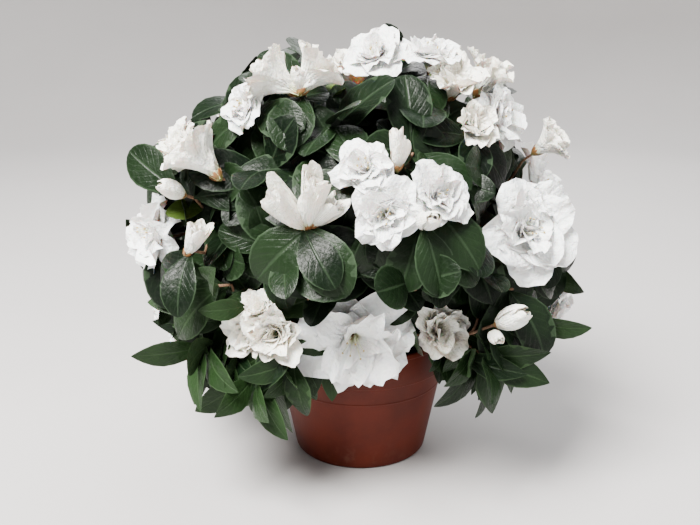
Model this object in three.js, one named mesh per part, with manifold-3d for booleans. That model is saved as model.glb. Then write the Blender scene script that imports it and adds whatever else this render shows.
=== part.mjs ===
// Potted azalea shrub: plastic pot, soil, short stem, boughs and masses of leaves with blossom.
// Millimetres, +Z up, the front is -Y, the origin is the middle of the pot's flat underside.
import * as THREE from "three";
import Module from "manifold-3d";

// Pot: a 13 cm azalea pot with a deep rim band.
const POT_HEIGHT = 92;
const RIM_RADIUS = 65;
const RIM_BAND = 24;
const RIM_STEP = 2.4;
const BASE_RADIUS = 49;
const WALL = 1.7;
const FLOOR = 2.2;
const POT_SIDES = 32;
const DRAIN_HOLES = 8;
const DRAIN_RADIUS = 4.5;
const DRAIN_CIRCLE = 34;

// Soil: fills the pot to a little under its rim.
const SOIL_TOP = 80;
const GAP = 0.3;
const TRACE = 0.005;

// Stem: short, flared at the soil, leaning a little to the left.
const STEM_FORK = 113;
const STEM_LEAN = 5;
const STEM_FLARE = 9.5;
const STEM_RADIUS = 5.4;

// Crown: the twig tips end on a dome, from which the leaves stand out. On its open side nothing hangs over the pot.
const CROWN_SHIFT = -6;
const CROWN_MIDDLE = 128;
const TIP_REACH = 138;
const TIP_RISE = 148;
const TIP_FALL = 64;
const LOWEST_TIP = -42;
const SHOOTS = 76;
const GOLDEN = 137.508;
const OPEN_SIDE = [2, 36];
const OPEN_BELOW = 112;

// Underside: the leaves end on a slope, given by its height at a reach of 110 and its rise, lower over the front side.
const FRONT_SIDE = [-52, 60];
const FRONT_SLOPE = [46, 0.75];
const OTHER_SLOPE = [62, 1.35];
const BOUGH_STEPS = 4;
const SEED = 20;

// Leaf and blossom sizes.
const LEAVES_A_SHOOT = 5;
const LEAF_LENGTH = 50;
const LEAF_WIDTH = 0.6;
const LEAF_THICK = 1.1;
const LEAF_TRIES = [
  [1, 0],
  [1, 0.25],
  [0.86, -0.15],
  [0.72, 0.2],
];
const TWIG_RADIUS = 1.3;
const CROSSING = 0.01;
const CORE_RADIUS = 44;
const CORE_DEPTH = 15;
const CORE_SIDES = 8;
const HEART = { skirt: -16, waist: -16, upper: -23, crown: -24 };
const BLOOM_SIDES = 10;

// Masses by ring: height of the middles, reach and height of the bough tips, and each middle's azimuth and reach.
const RINGS = {
  skirt: {
    height: 112,
    tip: [74, 115],
    middles: [
      [-38, 112],
      [0, 112],
      [38, 112],
      [80, 112],
      [126, 112],
      [178, 112],
      [-128, 112],
      [-82, 112],
    ],
  },
  waist: {
    height: 188,
    tip: [70, 165],
    middles: [
      [-60, 112],
      [-20, 112],
      [12, 112],
      [45, 112],
      [92, 112],
      [142, 112],
      [-168, 112],
      [-112, 112],
    ],
  },
  upper: {
    height: 254,
    tip: [38, 208],
    middles: [
      [-50, 66],
      [62, 80],
      [180, 86],
    ],
  },
  crown: {
    height: 270,
    tip: [6, 220],
    middles: [[150, 12]],
  },
};

// Blossom that the view shows: azimuth, reach and height of its middle, its diameter and how far it is open.
const BLOSSOM = [
  [1, 112, 117, 68, "open"],
  [-25, 129, 128, 46, "open"],
  [-28, 125, 146, 24, "half"],
  [-12, 138, 217, 40, "half"],
  [-42, 134, 233, 38, "half"],
  [-64, 128, 242, 26, "half"],
  [-62, 152, 181, 48, "open"],
  [-40, 150, 187, 20, "half"],
  [-40, 106, 264, 32, "open"],
  [-46, 76, 278, 36, "half"],
  [-18, 56, 287, 34, "half"],
  [3, 130, 236, 35, "open"],
  [8, 142, 209, 42, "open"],
  [22, 140, 220, 42, "open"],
  [50, 148, 191, 69, "open"],
  [66, 110, 254, 46, "open"],
  [20, 42, 296, 44, "open"],
  [58, 62, 297, 46, "open"],
  [52, 84, 281, 32, "half"],
  [76, 96, 283, 32, "half"],
  [40, 148, 138, 18, "bud"],
  [31, 112, 124, 34, "half"],
];

// Blossom of the sides that the view doesn't show: the share of masses with a bloom and how far out it stands.
const HIDDEN_SIDE = 78;
const HIDDEN_SHARE = { skirt: 0.55, waist: 1, upper: 1, crown: 1 };
const HIDDEN_REACH = { skirt: 32, waist: 30, upper: 12, crown: 10 };

const DEG = Math.PI / 180;
const wasm = await Module();
wasm.setup();
const { Manifold, Mesh } = wasm;

const vec = (x, y, z) => new THREE.Vector3(x, y, z);
const UP = vec(0, 0, 1);
const plus = (p, d, s) => p.clone().addScaledVector(d, s);
const toward = (a, b) => b.clone().sub(a).normalize();

// A place in the crown by its azimuth from the front, its reach from the crown's axis and its height.
const place = (azimuth, reach, height) =>
  vec(CROWN_SHIFT + reach * Math.sin(azimuth * DEG), -reach * Math.cos(azimuth * DEG), height);

// A repeatable run of numbers between 0 and 1: each is the last, times 1664525, plus 1013904223, modulo 2^32.
function seeded(seed) {
  let state = Math.imul(seed + 17, 2654435761) >>> 0;
  const next = () => {
    state = (Math.imul(state, 1664525) + 1013904223) >>> 0;
    return state / 4294967296;
  };
  next();
  next();
  return next;
}

const solid = (corners, faces) =>
  new Manifold(
    new Mesh({
      numProp: 3,
      vertProperties: new Float32Array(corners.flatMap((p) => [p.x, p.y, p.z])),
      triVerts: new Uint32Array(faces.flat()),
    }),
  );

// A closed skin over rings of corners, drawn to one corner at each end.
function skin(first, rings, last) {
  const sides = rings[0].length;
  const corners = [first, ...rings.flat(), last];
  const at = (ring, i) => 1 + ring * sides + (i % sides);
  const end = corners.length - 1;
  const faces = [];
  for (let i = 0; i < sides; i++) {
    faces.push([0, at(0, i + 1), at(0, i)]);
    faces.push([at(rings.length - 1, i), at(rings.length - 1, i + 1), end]);
    for (let k = 0; k + 1 < rings.length; k++) {
      faces.push([at(k, i), at(k, i + 1), at(k + 1, i + 1)]);
      faces.push([at(k, i), at(k + 1, i + 1), at(k + 1, i)]);
    }
  }
  return solid(corners, faces);
}

// Two directions at right angles to an axis and to each other.
function across(axis) {
  const side = Math.abs(axis.z) < 0.9 ? UP : vec(1, 0, 0);
  const u = side.clone().cross(axis).normalize();
  return [u, axis.clone().cross(u)];
}

// A ring of corners round a point, at right angles to an axis.
function ring(middle, axis, sides, radius, phase = 0) {
  const [u, v] = across(axis);
  return Array.from({ length: sides }, (_, i) => {
    const a = (i / sides) * 2 * Math.PI + phase;
    const r = typeof radius === "function" ? radius(a, i) : radius;
    return plus(plus(middle, u, r * Math.cos(a)), v, r * Math.sin(a));
  });
}

// A limb with flat cut ends along a path, whose radius goes from one value to another; more widens every ring.
function limb(path, radii, sides, more = 0, lobes = 0) {
  const rings = path.map((p, k) => {
    const axis = toward(path[Math.max(k - 1, 0)], path[Math.min(k + 1, path.length - 1)]);
    if (lobes && k === 0) axis.copy(UP);
    const round = (a) => (radii[k] + more) * (1 + (k < 2 ? lobes * (2 - k) * Math.cos(3 * a) : 0));
    return ring(p, axis, sides, round);
  });
  return skin(path[0], rings, path[path.length - 1]);
}

// A bent path in equal steps from a start, past a bend, to an end.
function bent(start, bend, end, steps) {
  return Array.from({ length: steps + 1 }, (_, k) => {
    const t = k / steps;
    return start
      .clone()
      .multiplyScalar((1 - t) * (1 - t))
      .addScaledVector(bend, 2 * t * (1 - t))
      .addScaledVector(end, t * t);
  });
}

const taper = (from, to, count) => Array.from({ length: count }, (_, k) => from + ((to - from) * k) / (count - 1));
const largest = (s) => s.decompose().sort((a, b) => b.volume() - a.volume())[0];

// Pot: a turned shell with a floor, a stepped rim band and drain holes round the middle.
const bandFoot = POT_HEIGHT - RIM_BAND;
const bodyTop = RIM_RADIUS - RIM_STEP - 0.6;
function turned(profile, sides) {
  const rings = profile.slice(1, -1).map(([r, z]) => ring(vec(0, 0, z), UP, sides, r));
  return skin(vec(0, 0, profile[0][1]), rings, vec(0, 0, profile[profile.length - 1][1]));
}
const innerWall = [
  [RIM_RADIUS - WALL, POT_HEIGHT],
  [RIM_RADIUS - WALL - 0.7, bandFoot + 2.4],
  [bodyTop - WALL, bandFoot - 1],
  [BASE_RADIUS - WALL, FLOOR],
];
let pot = turned(
  [
    [0, 0],
    [BASE_RADIUS - 1.4, 0],
    [BASE_RADIUS, 1.4],
    [bodyTop, bandFoot - 0.4],
    [RIM_RADIUS - 0.7, bandFoot + 0.6],
    [RIM_RADIUS, POT_HEIGHT - 0.8],
    [RIM_RADIUS - 0.6, POT_HEIGHT],
    ...innerWall,
    [0, FLOOR],
  ],
  POT_SIDES,
);
for (let i = 0; i < DRAIN_HOLES; i++) {
  const a = ((i + 0.5) / DRAIN_HOLES) * 2 * Math.PI;
  const middle = vec(DRAIN_CIRCLE * Math.cos(a), DRAIN_CIRCLE * Math.sin(a), -1);
  const hole = limb([middle, plus(middle, UP, FLOOR + 2)], [DRAIN_RADIUS, DRAIN_RADIUS], 8);
  pot = pot.subtract(hole);
}

// Soil: a plug that follows the inner wall with a small gap.
const soilRadius = (k, z) => {
  const [[r1, z1], [r0, z0]] = [innerWall[k], innerWall[k + 1]];
  return r0 + ((r1 - r0) * (z - z0)) / (z1 - z0) - GAP * 1.15;
};
const soil = turned(
  [
    [0, FLOOR + GAP],
    [soilRadius(2, FLOOR + GAP), FLOOR + GAP],
    [soilRadius(2, bandFoot - 1), bandFoot - 1 + GAP * 0.5],
    [soilRadius(0, bandFoot + 2.4), bandFoot + 2.4 + GAP],
    [soilRadius(0, SOIL_TOP - 1), SOIL_TOP - 1],
    [46, SOIL_TOP - 0.3],
    [24, SOIL_TOP],
    [0, SOIL_TOP],
  ],
  POT_SIDES,
);

// Stem: from its flat cut at the soil to the fork.
const stemAt = (z) => vec(-(z - SOIL_TOP) * Math.tan(STEM_LEAN * DEG), 0, z);
const stemFoot = SOIL_TOP + GAP;
const stemHeights = [stemFoot, stemFoot + 4, stemFoot + 11, STEM_FORK];
const stemRadii = [STEM_FLARE, 7, STEM_RADIUS + 0.5, STEM_RADIUS - 0.4];
const stemPath = stemHeights.map(stemAt);
const stem = limb(stemPath, stemRadii, 9, 0, 0.07);
const stemAxis = toward(stemPath[2], stemPath[3]);
const stemRoom = limb([...stemPath, plus(stemPath[3], stemAxis, 0.6)], [...stemRadii, stemRadii[3]], 9, GAP + 0.25, 0.07);

// Masses: name, azimuth, the middle of the space and the tip of the bough that carries it.
const masses = [];
for (const [name, { height, tip, middles }] of Object.entries(RINGS)) {
  middles.forEach(([azimuth, reach], i) => {
    masses.push({
      name: name + "_" + (i + 1),
      ring: name,
      azimuth,
      middle: place(azimuth, reach, height),
      tip: place(azimuth, ...tip),
    });
  });
}
const massOf = (name) => masses.find((m) => m.name === name);
const near = (azimuth, list) =>
  list.reduce((best, m) => (turn(m.azimuth, azimuth) < turn(best.azimuth, azimuth) ? m : best));
const turn = (a, b) => Math.abs(((((a - b) % 360) + 540) % 360) - 180);

// Boughs: waist boughs rise from the stem by turns low and high, skirt boughs leave the nearest waist bough,
// the leader goes on from the stem's top and the upper boughs leave the leader.
const limbs = [];
function bough(mass, start, bend, radii, room) {
  const path = bent(start, bend, mass.tip, BOUGH_STEPS);
  const thick = taper(...radii, path.length);
  const sides = mass.ring === "skirt" ? 5 : 6;
  let body = limb(path, thick, sides);
  if (room) body = largest(body.subtract(room));
  mass.path = path;
  mass.radii = thick;
  mass.bough = body;
  mass.room = limb(path, thick, sides, GAP + 0.2);
  mass.heading = toward(path[BOUGH_STEPS - 1], path[BOUGH_STEPS]);
  limbs.push({ path, radii: thick, of: mass.name });
}
const waist = masses.filter((m) => m.ring === "waist");
waist.forEach((mass, i) => {
  const foot = stemAt(i % 2 ? 97 : 105);
  const out = toward(foot, vec(mass.tip.x, mass.tip.y, foot.z));
  const bend = plus(plus(foot, out, 26), UP, i % 2 ? 17 : 21);
  bough(mass, foot, bend, [2.5, 1.7], stemRoom);
});
const leader = massOf("crown_1");
{
  const foot = plus(stemPath[3], stemAxis, -1);
  bough(leader, foot, plus(foot, UP, 50), [3.4, 1.8], stemRoom);
}
for (const mass of masses) {
  if (mass.path) continue;
  const parent = mass.ring === "skirt" ? near(mass.azimuth, waist) : leader;
  const foot = parent.path[mass.ring === "skirt" || mass.name === "upper_2" ? 1 : 2];
  const out = toward(foot, vec(mass.tip.x, mass.tip.y, foot.z));
  const bend = mass.ring === "skirt" ? plus(plus(foot, out, 22), UP, 3) : plus(plus(foot, out, 14), UP, 18);
  bough(mass, foot, bend, [1.8, 1.4], parent.room);
}

// Shoots: their tips lie on the dome by the golden angle; each belongs to the mass whose middle is nearest.
function domeTip(azimuth, sine) {
  const cosine = Math.sqrt(1 - sine * sine);
  return place(azimuth, TIP_REACH * cosine, CROWN_MIDDLE + sine * (sine > 0 ? TIP_RISE : TIP_FALL));
}
function outward(p) {
  const rise = p.z > CROWN_MIDDLE ? TIP_RISE : TIP_FALL * 1.6;
  return vec(
    (p.x - CROWN_SHIFT) / TIP_REACH ** 2,
    p.y / TIP_REACH ** 2,
    (p.z - CROWN_MIDDLE) / rise ** 2,
  ).normalize();
}
function overOpenSide(p) {
  const azimuth = Math.atan2(p.x - CROWN_SHIFT, -p.y) / DEG;
  return p.z < OPEN_BELOW && azimuth > OPEN_SIDE[0] && azimuth < OPEN_SIDE[1];
}
const shoots = [];
const lowest = Math.sin(LOWEST_TIP * DEG);
for (let i = 0; i < SHOOTS; i++) {
  const sine = lowest + ((1 - lowest) * (i + 0.5)) / SHOOTS;
  const tip = domeTip(i * GOLDEN, sine);
  if (overOpenSide(tip)) continue;
  shoots.push({ tip, axis: outward(tip), azimuth: i * GOLDEN });
}
// A bloom takes the shoot that is nearest to it and draws its tip to the bloom's foot.
const depthOf = (size, kind) => (kind === "open" ? 0.36 : kind === "half" ? 0.75 : 0.5) * size;
function bearBloom(middle, size, kind) {
  const axis = outward(middle);
  const tip = plus(middle, axis, 4.5 - depthOf(size, kind));
  const free = shoots.filter((s) => !s.bloom);
  const taken = free.reduce((a, b) => (b.tip.distanceTo(tip) < a.tip.distanceTo(tip) ? b : a));
  const shoot = taken.tip.distanceTo(tip) < 21 ? taken : shoots[shoots.push({}) - 1];
  Object.assign(shoot, { tip, axis, bloom: { middle, size, kind } });
}
for (const [azimuth, reach, height, size, kind] of BLOSSOM) bearBloom(place(azimuth, reach, height), size, kind);
const hidden = seeded(SEED);
for (const mass of masses) {
  if (turn(mass.azimuth, 0) < HIDDEN_SIDE || hidden() > HIDDEN_SHARE[mass.ring]) continue;
  const spot = mass.middle.clone().add(vec(hidden() - 0.5, hidden() - 0.5, hidden() - 0.5).multiplyScalar(16));
  const kind = hidden() < 0.75 ? "open" : "half";
  bearBloom(plus(spot, outward(spot), HIDDEN_REACH[mass.ring]), (kind === "open" ? 50 : 34) + 14 * hidden(), kind);
}
for (const shoot of shoots) {
  shoot.mass = masses.reduce((a, b) => {
    const spot = shoot.bloom ? shoot.bloom.middle : shoot.tip;
    return b.middle.distanceTo(spot) < a.middle.distanceTo(spot) ? b : a;
  });
}

// The borders of a mass's space: a point on each and the direction out of the space.
const borders = new Map();
for (const mass of masses) {
  const walls = masses
    .filter((other) => other !== mass)
    .map((other) => [other.middle.clone().add(mass.middle).multiplyScalar(0.5), toward(mass.middle, other.middle)]);
  borders.set(mass, walls);
}

// A leaf that would cross a border of its space turns along it instead.
function turnedIn(along, root, length, mass) {
  const result = along.clone();
  for (const [point, away] of borders.get(mass)) {
    const room = point.clone().sub(root).dot(away) / length - LEAF_WIDTH * 0.22;
    const over = result.dot(away) - room;
    if (over > 0) result.addScaledVector(away, -over);
  }
  return result.normalize();
}

// What a twig, leaf or bloom must keep clear of: its neighbours' spaces, the pot, the soil and the limbs.
function inSpace(points, mass) {
  const side = vec(0, 0, 0);
  return borders.get(mass).every(([point, away]) => points.every((p) => side.subVectors(p, point).dot(away) < -0.3));
}
function clearOfPot(p) {
  const r = Math.hypot(p.x, p.y);
  if (p.z > POT_HEIGHT + 3) return true;
  return p.z > 3 && r > RIM_RADIUS + 3;
}
const segment = new THREE.Line3();
const foot = vec(0, 0, 0);
function clearOfLimbs(p, mass, room) {
  return limbs.every(({ path, radii, of }) => {
    const last = of === mass.name ? path.length - 2 : path.length - 1;
    for (let k = 0; k < last; k++) {
      segment.set(path[k], path[k + 1]).closestPointToPoint(p, true, foot);
      if (foot.distanceTo(p) < radii[k] + room) return false;
    }
    return true;
  });
}
const fits = (points, mass, room = 2.5) =>
  inSpace(points, mass) && points.every((p) => clearOfPot(p) && clearOfLimbs(p, mass, room));
const clearOfOpenSide = (points) => points.every((p) => p.z > OPEN_BELOW - 20 || !overOpenSide(p));
function overUnderside(p) {
  const azimuth = Math.atan2(p.x - CROWN_SHIFT, -p.y) / DEG;
  const [low, rise] = azimuth > FRONT_SIDE[0] && azimuth < FRONT_SIDE[1] ? FRONT_SLOPE : OTHER_SLOPE;
  return p.z > low + rise * (Math.hypot(p.x - CROWN_SHIFT, p.y) - 110);
}

// Leaf: eight faces between its foot, tip, two edges and the middle of its upper and lower side, arched a little.
function leaf(root, along, upper, length) {
  const side = upper.clone().cross(along).normalize();
  const face = along.clone().cross(side);
  const at = (x, y, z) => plus(plus(plus(root, along, x * length), side, y * length), face, z * length);
  const thick = LEAF_THICK / 2 / length;
  return [
    at(0, 0, 0),
    at(0.98, 0, -0.14),
    at(0.56, LEAF_WIDTH / 2, 0.05),
    at(0.56, -LEAF_WIDTH / 2, 0.05),
    at(0.54, 0, 0.04 + thick),
    at(0.54, 0, 0.04 - thick),
  ];
}
const LEAF_FACES = [
  [0, 4, 2],
  [0, 3, 4],
  [1, 2, 4],
  [1, 4, 3],
  [0, 2, 5],
  [0, 5, 3],
  [1, 5, 2],
  [1, 3, 5],
];

// Bloom: a ruffled bowl (open), a ruffled trumpet (half) or a pointed bud.
function bloomSolid({ middle, size, kind }, axis, random) {
  const depth = depthOf(size, kind);
  const first = plus(middle, axis, -depth);
  const phase = random() * 6;
  if (kind === "bud") {
    const rings = [ring(plus(middle, axis, -0.1 * size), axis, 6, 0.3 * size, phase)];
    return skin(first, rings, plus(middle, axis, 0.6 * size));
  }
  const ruffle = (radius, share) => (a, i) => radius * size * (1 - share * (i % 2) + share * 0.5 * random());
  const open = kind === "open";
  const rings = [
    ring(plus(middle, axis, open ? -0.02 * size : 0.12 * size), axis, BLOOM_SIDES, ruffle(0.47, 0.16), phase),
    ring(plus(middle, axis, open ? 0.14 * size : 0.2 * size), axis, BLOOM_SIDES, ruffle(0.3, 0.3), phase + 0.3),
  ];
  if (!open) rings.unshift(ring(plus(middle, axis, -0.3 * size), axis, BLOOM_SIDES, 0.16 * size, phase));
  return skin(first, rings, plus(middle, axis, open ? 0.08 * size : -0.02 * size));
}

// Core: a lump of inner leaves and twigs inside a dense mass, flattened along its axis and kept inside its space.
function core(middle, axis, radius, mass, random) {
  const deep = CORE_DEPTH;
  const [u, v] = across(axis);
  const rows = [-0.6, 0.05, 0.65].map((rise, k) => {
    const centre = plus(middle, axis, rise * deep);
    const round = (a) => {
      const d = u.clone().multiplyScalar(Math.cos(a)).addScaledVector(v, Math.sin(a));
      const free = radius * Math.sqrt(1 - rise * rise) * (0.9 + 0.2 * random());
      return borders.get(mass).reduce((r, [point, away]) => {
        const slope = d.dot(away);
        return slope > 0.01 ? Math.min(r, (point.clone().sub(centre).dot(away) - 0.6) / slope) : r;
      }, free);
    };
    return ring(centre, axis, CORE_SIDES, round, k * 0.4);
  });
  return { rows, body: skin(plus(middle, axis, -0.95 * deep), rows, plus(middle, axis, deep)) };
}

// Whether two pieces share more room than a trace.
function crosses(a, b) {
  const [p, q] = [a.boundingBox(), b.boundingBox()];
  if ([0, 1, 2].some((i) => p.max[i] < q.min[i] || q.max[i] < p.min[i])) return false;
  return a.intersect(b).volume() > CROSSING;
}

// Whether no two corners of a body lie nearer than a trace, so that it stays closed in its file.
function sound(body) {
  const { numProp, vertProperties } = body.getMesh();
  const corners = [];
  for (let i = 0; i < vertProperties.length; i += numProp) corners.push(vertProperties.subarray(i, i + 3));
  corners.sort((a, b) => a[0] - b[0]);
  return corners.every((a, i) => {
    for (let j = i + 1; j < corners.length && corners[j][0] - a[0] < TRACE; j++)
      if (Math.hypot(corners[j][0] - a[0], corners[j][1] - a[1], corners[j][2] - a[2]) < TRACE) return false;
    return true;
  });
}

// Mass: a stem 0.3 mm clear of the bough's tip, twigs to each shoot, and on each shoot its leaves and bloom.
function grow(mass, index) {
  const random = seeded(SEED + 31 * (index + 1));
  const start = plus(mass.tip, mass.heading, GAP);
  const fork = plus(start, toward(start, mass.middle), mass.ring === "crown" ? 10 : 14);
  const outside = outward(mass.middle);
  const heart = plus(mass.middle, outside, HEART[mass.ring]);
  const heel = plus(start, mass.heading, 5);
  let body = limb([start, heel, fork, plus(fork, toward(fork, mass.middle), 8)], [1.6, 1.6, 1.5, 1.3], 5);
  const take = (piece) => {
    const next = body.add(piece);
    if (!sound(next)) return false;
    body = next;
    return true;
  };
  for (let radius = CORE_RADIUS; radius > 12; radius -= 2) {
    const { rows, body: lump } = core(heart, outside, radius, mass, random);
    if (fits(rows.flat(), mass) && take(lump)) break;
  }
  const others = [];
  let leaves = 0;
  let order = 0;
  for (const shoot of shoots.filter((s) => s.mass === mass)) {
    const twist = random() * 360;
    const lean = random();
    const reach = shoot.tip.distanceTo(fork);
    const bend = plus(plus(fork, toward(fork, mass.middle), reach * 0.35), UP, (lean - 0.3) * 8);
    const twig = bent(plus(fork, mass.heading, -1.1 * (order++ % 4)), bend, shoot.tip, 2);
    if (!fits(twig.slice(1), mass, 2.6)) continue;
    const wide = [0.3, 0.35, 0.25, 0.42, 0.18].find((more) => take(limb(twig, taper(TWIG_RADIUS + more, TWIG_RADIUS, 3), 3)));
    if (!wide) continue;
    const grown = [];
    if (shoot.bloom) {
      for (const share of [1, 0.93, 0.86, 0.78]) {
        const size = shoot.bloom.size * share;
        const bloom = { ...shoot.bloom, size };
        bloom.middle = plus(shoot.tip, shoot.axis, depthOf(size, bloom.kind) - 4.5);
        const edge = ring(bloom.middle, shoot.axis, 8, size * 0.5);
        if (!fits(edge, mass)) continue;
        const flower = bloomSolid(bloom, shoot.axis, random);
        if (!take(flower)) continue;
        grown.push(flower);
        break;
      }
    }
    const droop = mass.ring === "skirt" ? 0.35 : 0.1;
    for (let k = 0; k < LEAVES_A_SHOOT; k++) {
      const angle = (twist + (k * 720) / LEAVES_A_SHOOT + 8 * (random() - 0.5)) * DEG;
      const spread = (shoot.bloom ? 72 : 52 + 5 * k) * DEG + 0.2 * (random() - 0.5);
      const size = LEAF_LENGTH * (0.82 + 0.3 * random());
      const [u, v] = across(shoot.axis);
      const root = plus(shoot.tip, shoot.axis, -1.2 - 2.2 * k);
      const flat = u.multiplyScalar(Math.cos(angle)).addScaledVector(v, Math.sin(angle));
      for (const [share, more] of LEAF_TRIES) {
        const free = flat
          .clone()
          .multiplyScalar(Math.sin(spread + more))
          .addScaledVector(shoot.axis, Math.cos(spread + more))
          .addScaledVector(UP, -droop)
          .normalize();
        const along = turnedIn(free, root, size * share, mass);
        const corners = leaf(root, along, shoot.axis, size * share);
        const half = corners[0].clone().add(corners[2]).multiplyScalar(0.5);
        const other = corners[0].clone().add(corners[3]).multiplyScalar(0.5);
        if (!fits([...corners.slice(1), half, other], mass)) continue;
        if (!clearOfOpenSide(corners) || !corners.every(overUnderside)) continue;
        const blade = solid(corners, LEAF_FACES);
        if (others.some((piece) => crosses(piece, blade)) || !take(blade)) continue;
        grown.push(blade);
        leaves++;
        break;
      }
    }
    others.push(...grown);
  }
  return { body: largest(body), leaves };
}

const COLORS = {
  pot: "#a04a36",
  soil: "#2e2620",
  stem: "#6b5442",
  bough: "#6f5340",
  skirt: "#3f5f2e",
  waist: "#35562b",
  upper: "#3a5c2c",
  crown: "#40632f",
};

const root = new THREE.Group();
root.name = "potted_azalea";
function add(name, body, color) {
  const { numProp, vertProperties, triVerts } = body.getMesh();
  const count = vertProperties.length / numProp;
  const position = new Float32Array(count * 3);
  for (let i = 0; i < count; i++) position.set(vertProperties.subarray(i * numProp, i * numProp + 3), i * 3);
  const geometry = new THREE.BufferGeometry();
  geometry.setAttribute("position", new THREE.BufferAttribute(position, 3));
  geometry.setIndex(new THREE.BufferAttribute(new Uint32Array(triVerts), 1));
  const flat = geometry.toNonIndexed();
  flat.computeVertexNormals();
  const mesh = new THREE.Mesh(flat, new THREE.MeshStandardMaterial({ color, roughness: 0.7 }));
  mesh.name = name;
  root.add(mesh);
}
add("pot", pot, COLORS.pot);
add("soil", soil, COLORS.soil);
add("stem", stem, COLORS.stem);
for (const mass of masses) add("bough_" + mass.name, mass.bough, COLORS.bough);
masses.forEach((mass, i) => {
  const { body, leaves } = grow(mass, i);
  add("mass_" + mass.name, body, COLORS[mass.ring]);
  mass.leaves = leaves;
});

export default root;
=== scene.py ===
# %% [markdown]
# Potted azalea shrub: a dense round crown of glossy leaves and white double blossom on short boughs,
# in a brick-red plastic pot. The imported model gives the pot, the soil, the stem, the boughs and the
# masses of leaves as plain solids, and this lesson dresses them. The crown could be scattered by hand
# or by an instancing tool; here it grows by the same seeded rule as the solids, so that every leaf
# hangs on a twig and every twig on its bough.

# %% Frame
import math

import bpy
import numpy as np
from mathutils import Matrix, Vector


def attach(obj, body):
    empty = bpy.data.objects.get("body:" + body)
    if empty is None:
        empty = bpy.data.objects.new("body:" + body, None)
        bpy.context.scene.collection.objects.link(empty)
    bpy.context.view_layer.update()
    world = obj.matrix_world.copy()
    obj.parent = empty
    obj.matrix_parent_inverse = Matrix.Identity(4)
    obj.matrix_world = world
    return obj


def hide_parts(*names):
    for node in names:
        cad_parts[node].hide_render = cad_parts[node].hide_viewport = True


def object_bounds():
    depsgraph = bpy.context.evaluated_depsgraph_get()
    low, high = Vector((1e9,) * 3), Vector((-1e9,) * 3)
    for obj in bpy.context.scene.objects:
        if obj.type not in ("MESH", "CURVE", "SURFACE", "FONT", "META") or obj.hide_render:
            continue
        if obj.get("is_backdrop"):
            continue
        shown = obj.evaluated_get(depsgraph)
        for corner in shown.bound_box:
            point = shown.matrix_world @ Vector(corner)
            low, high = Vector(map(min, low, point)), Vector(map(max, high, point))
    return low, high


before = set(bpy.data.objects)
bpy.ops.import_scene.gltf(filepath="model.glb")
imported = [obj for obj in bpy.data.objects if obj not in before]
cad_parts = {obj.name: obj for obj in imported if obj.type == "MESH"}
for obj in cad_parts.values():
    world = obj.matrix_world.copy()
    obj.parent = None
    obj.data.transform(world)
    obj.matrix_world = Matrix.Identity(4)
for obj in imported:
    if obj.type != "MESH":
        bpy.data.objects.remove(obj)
cad_low, cad_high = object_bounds()
MM = 0.001
print("solids", len(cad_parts), "box", [round(v, 3) for v in cad_high - cad_low])

# %% [markdown]
# Every new piece is a grid of points worked out by numpy, copied as often as the piece has parts.
# The points could go in one by one; whole arrays are quicker and keep each formula in one place.

# %% Grids: directions, rings and faces
SEED = 20
UP = np.array([0.0, 0.0, 1.0])
rng = np.random.default_rng(SEED)


def unit(v):
    """Each vector divided by its own length."""
    return v / np.maximum(np.linalg.norm(v, axis=-1, keepdims=True), 1e-12)


def across(axis):
    """Two directions at right angles to each axis: up, or X where the axis is upright, crossed with it;
    and the axis crossed with that."""
    upright = np.abs(axis[..., 2:3]) >= 0.9
    u = unit(np.cross(np.where(upright, [1.0, 0.0, 0.0], UP), axis))
    return u, np.cross(axis, u)


def turns_of(count):
    """Equal turns round a circle: each count from 0, divided by all of them, times two pi."""
    return np.arange(count) / count * 2 * np.pi


def polar(radius, turn, height):
    """Points about the upright axis: the radius times the cosine and the sine of the turn, and a height."""
    return np.stack(np.broadcast_arrays(radius * np.cos(turn), radius * np.sin(turn), height), -1)


def grid_faces(rows, cols, copies, wrap=False):
    """Quads of a grid of rows by cols points, for each copy; wrap joins the last column to the first."""
    r, c = np.meshgrid(np.arange(rows - 1), np.arange(cols if wrap else cols - 1), indexing="ij")
    a = r * cols + c
    b = r * cols + (c + 1) % cols
    one = np.stack([a, b, b + cols, a + cols], -1).reshape(-1, 4)
    return (one[None] + (np.arange(copies) * rows * cols)[:, None, None]).reshape(-1, 4)


def cap(count, first=0, below=False):
    """A face over each ring of count points that starts at a first one; turned over where it is below."""
    ring = np.arange(count)[None] + first
    return ring[:, ::-1] if below else ring


print("a grid of 3 by 4 points has", len(grid_faces(3, 4, 1)), "faces, and a ring one cap", cap(4).tolist())


# %% Grids: meshes and pieces
def mesh_of(name, points, faces, paint, uv=None, values=None, smooth=True):
    """A mesh from points in metres and arrays of faces, with its finish, its UV map and the numbers that
    it keeps for each point."""
    corners = np.concatenate([f.ravel() for f in faces]).astype(np.int32)
    sizes = np.concatenate([np.full(len(f), f.shape[1]) for f in faces]).astype(np.int32)
    mesh = bpy.data.meshes.new(name)
    mesh.vertices.add(len(points))
    mesh.vertices.foreach_set("co", points.astype(np.float32).ravel())
    mesh.loops.add(len(corners))
    mesh.loops.foreach_set("vertex_index", corners)
    mesh.polygons.add(len(sizes))
    mesh.polygons.foreach_set("loop_start", np.concatenate([[0], np.cumsum(sizes)[:-1]]).astype(np.int32))
    mesh.polygons.foreach_set("use_smooth", np.full(len(sizes), smooth))
    mesh.update(calc_edges=True)
    if uv is not None:
        layer = mesh.uv_layers.new(name="surface")
        layer.data.foreach_set("uv", np.asarray(uv, np.float32).reshape(-1, 2)[corners].ravel())
    for key, data in (values or {}).items():
        layer = mesh.attributes.new(key, "FLOAT", "POINT")
        layer.data.foreach_set("value", np.asarray(data, np.float32).ravel())
    mesh.validate()
    mesh.materials.append(paint)
    return mesh


def put(name, data):
    """A new object of the scene."""
    thing = bpy.data.objects.new(name, data)
    bpy.context.scene.collection.objects.link(thing)
    return thing


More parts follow.
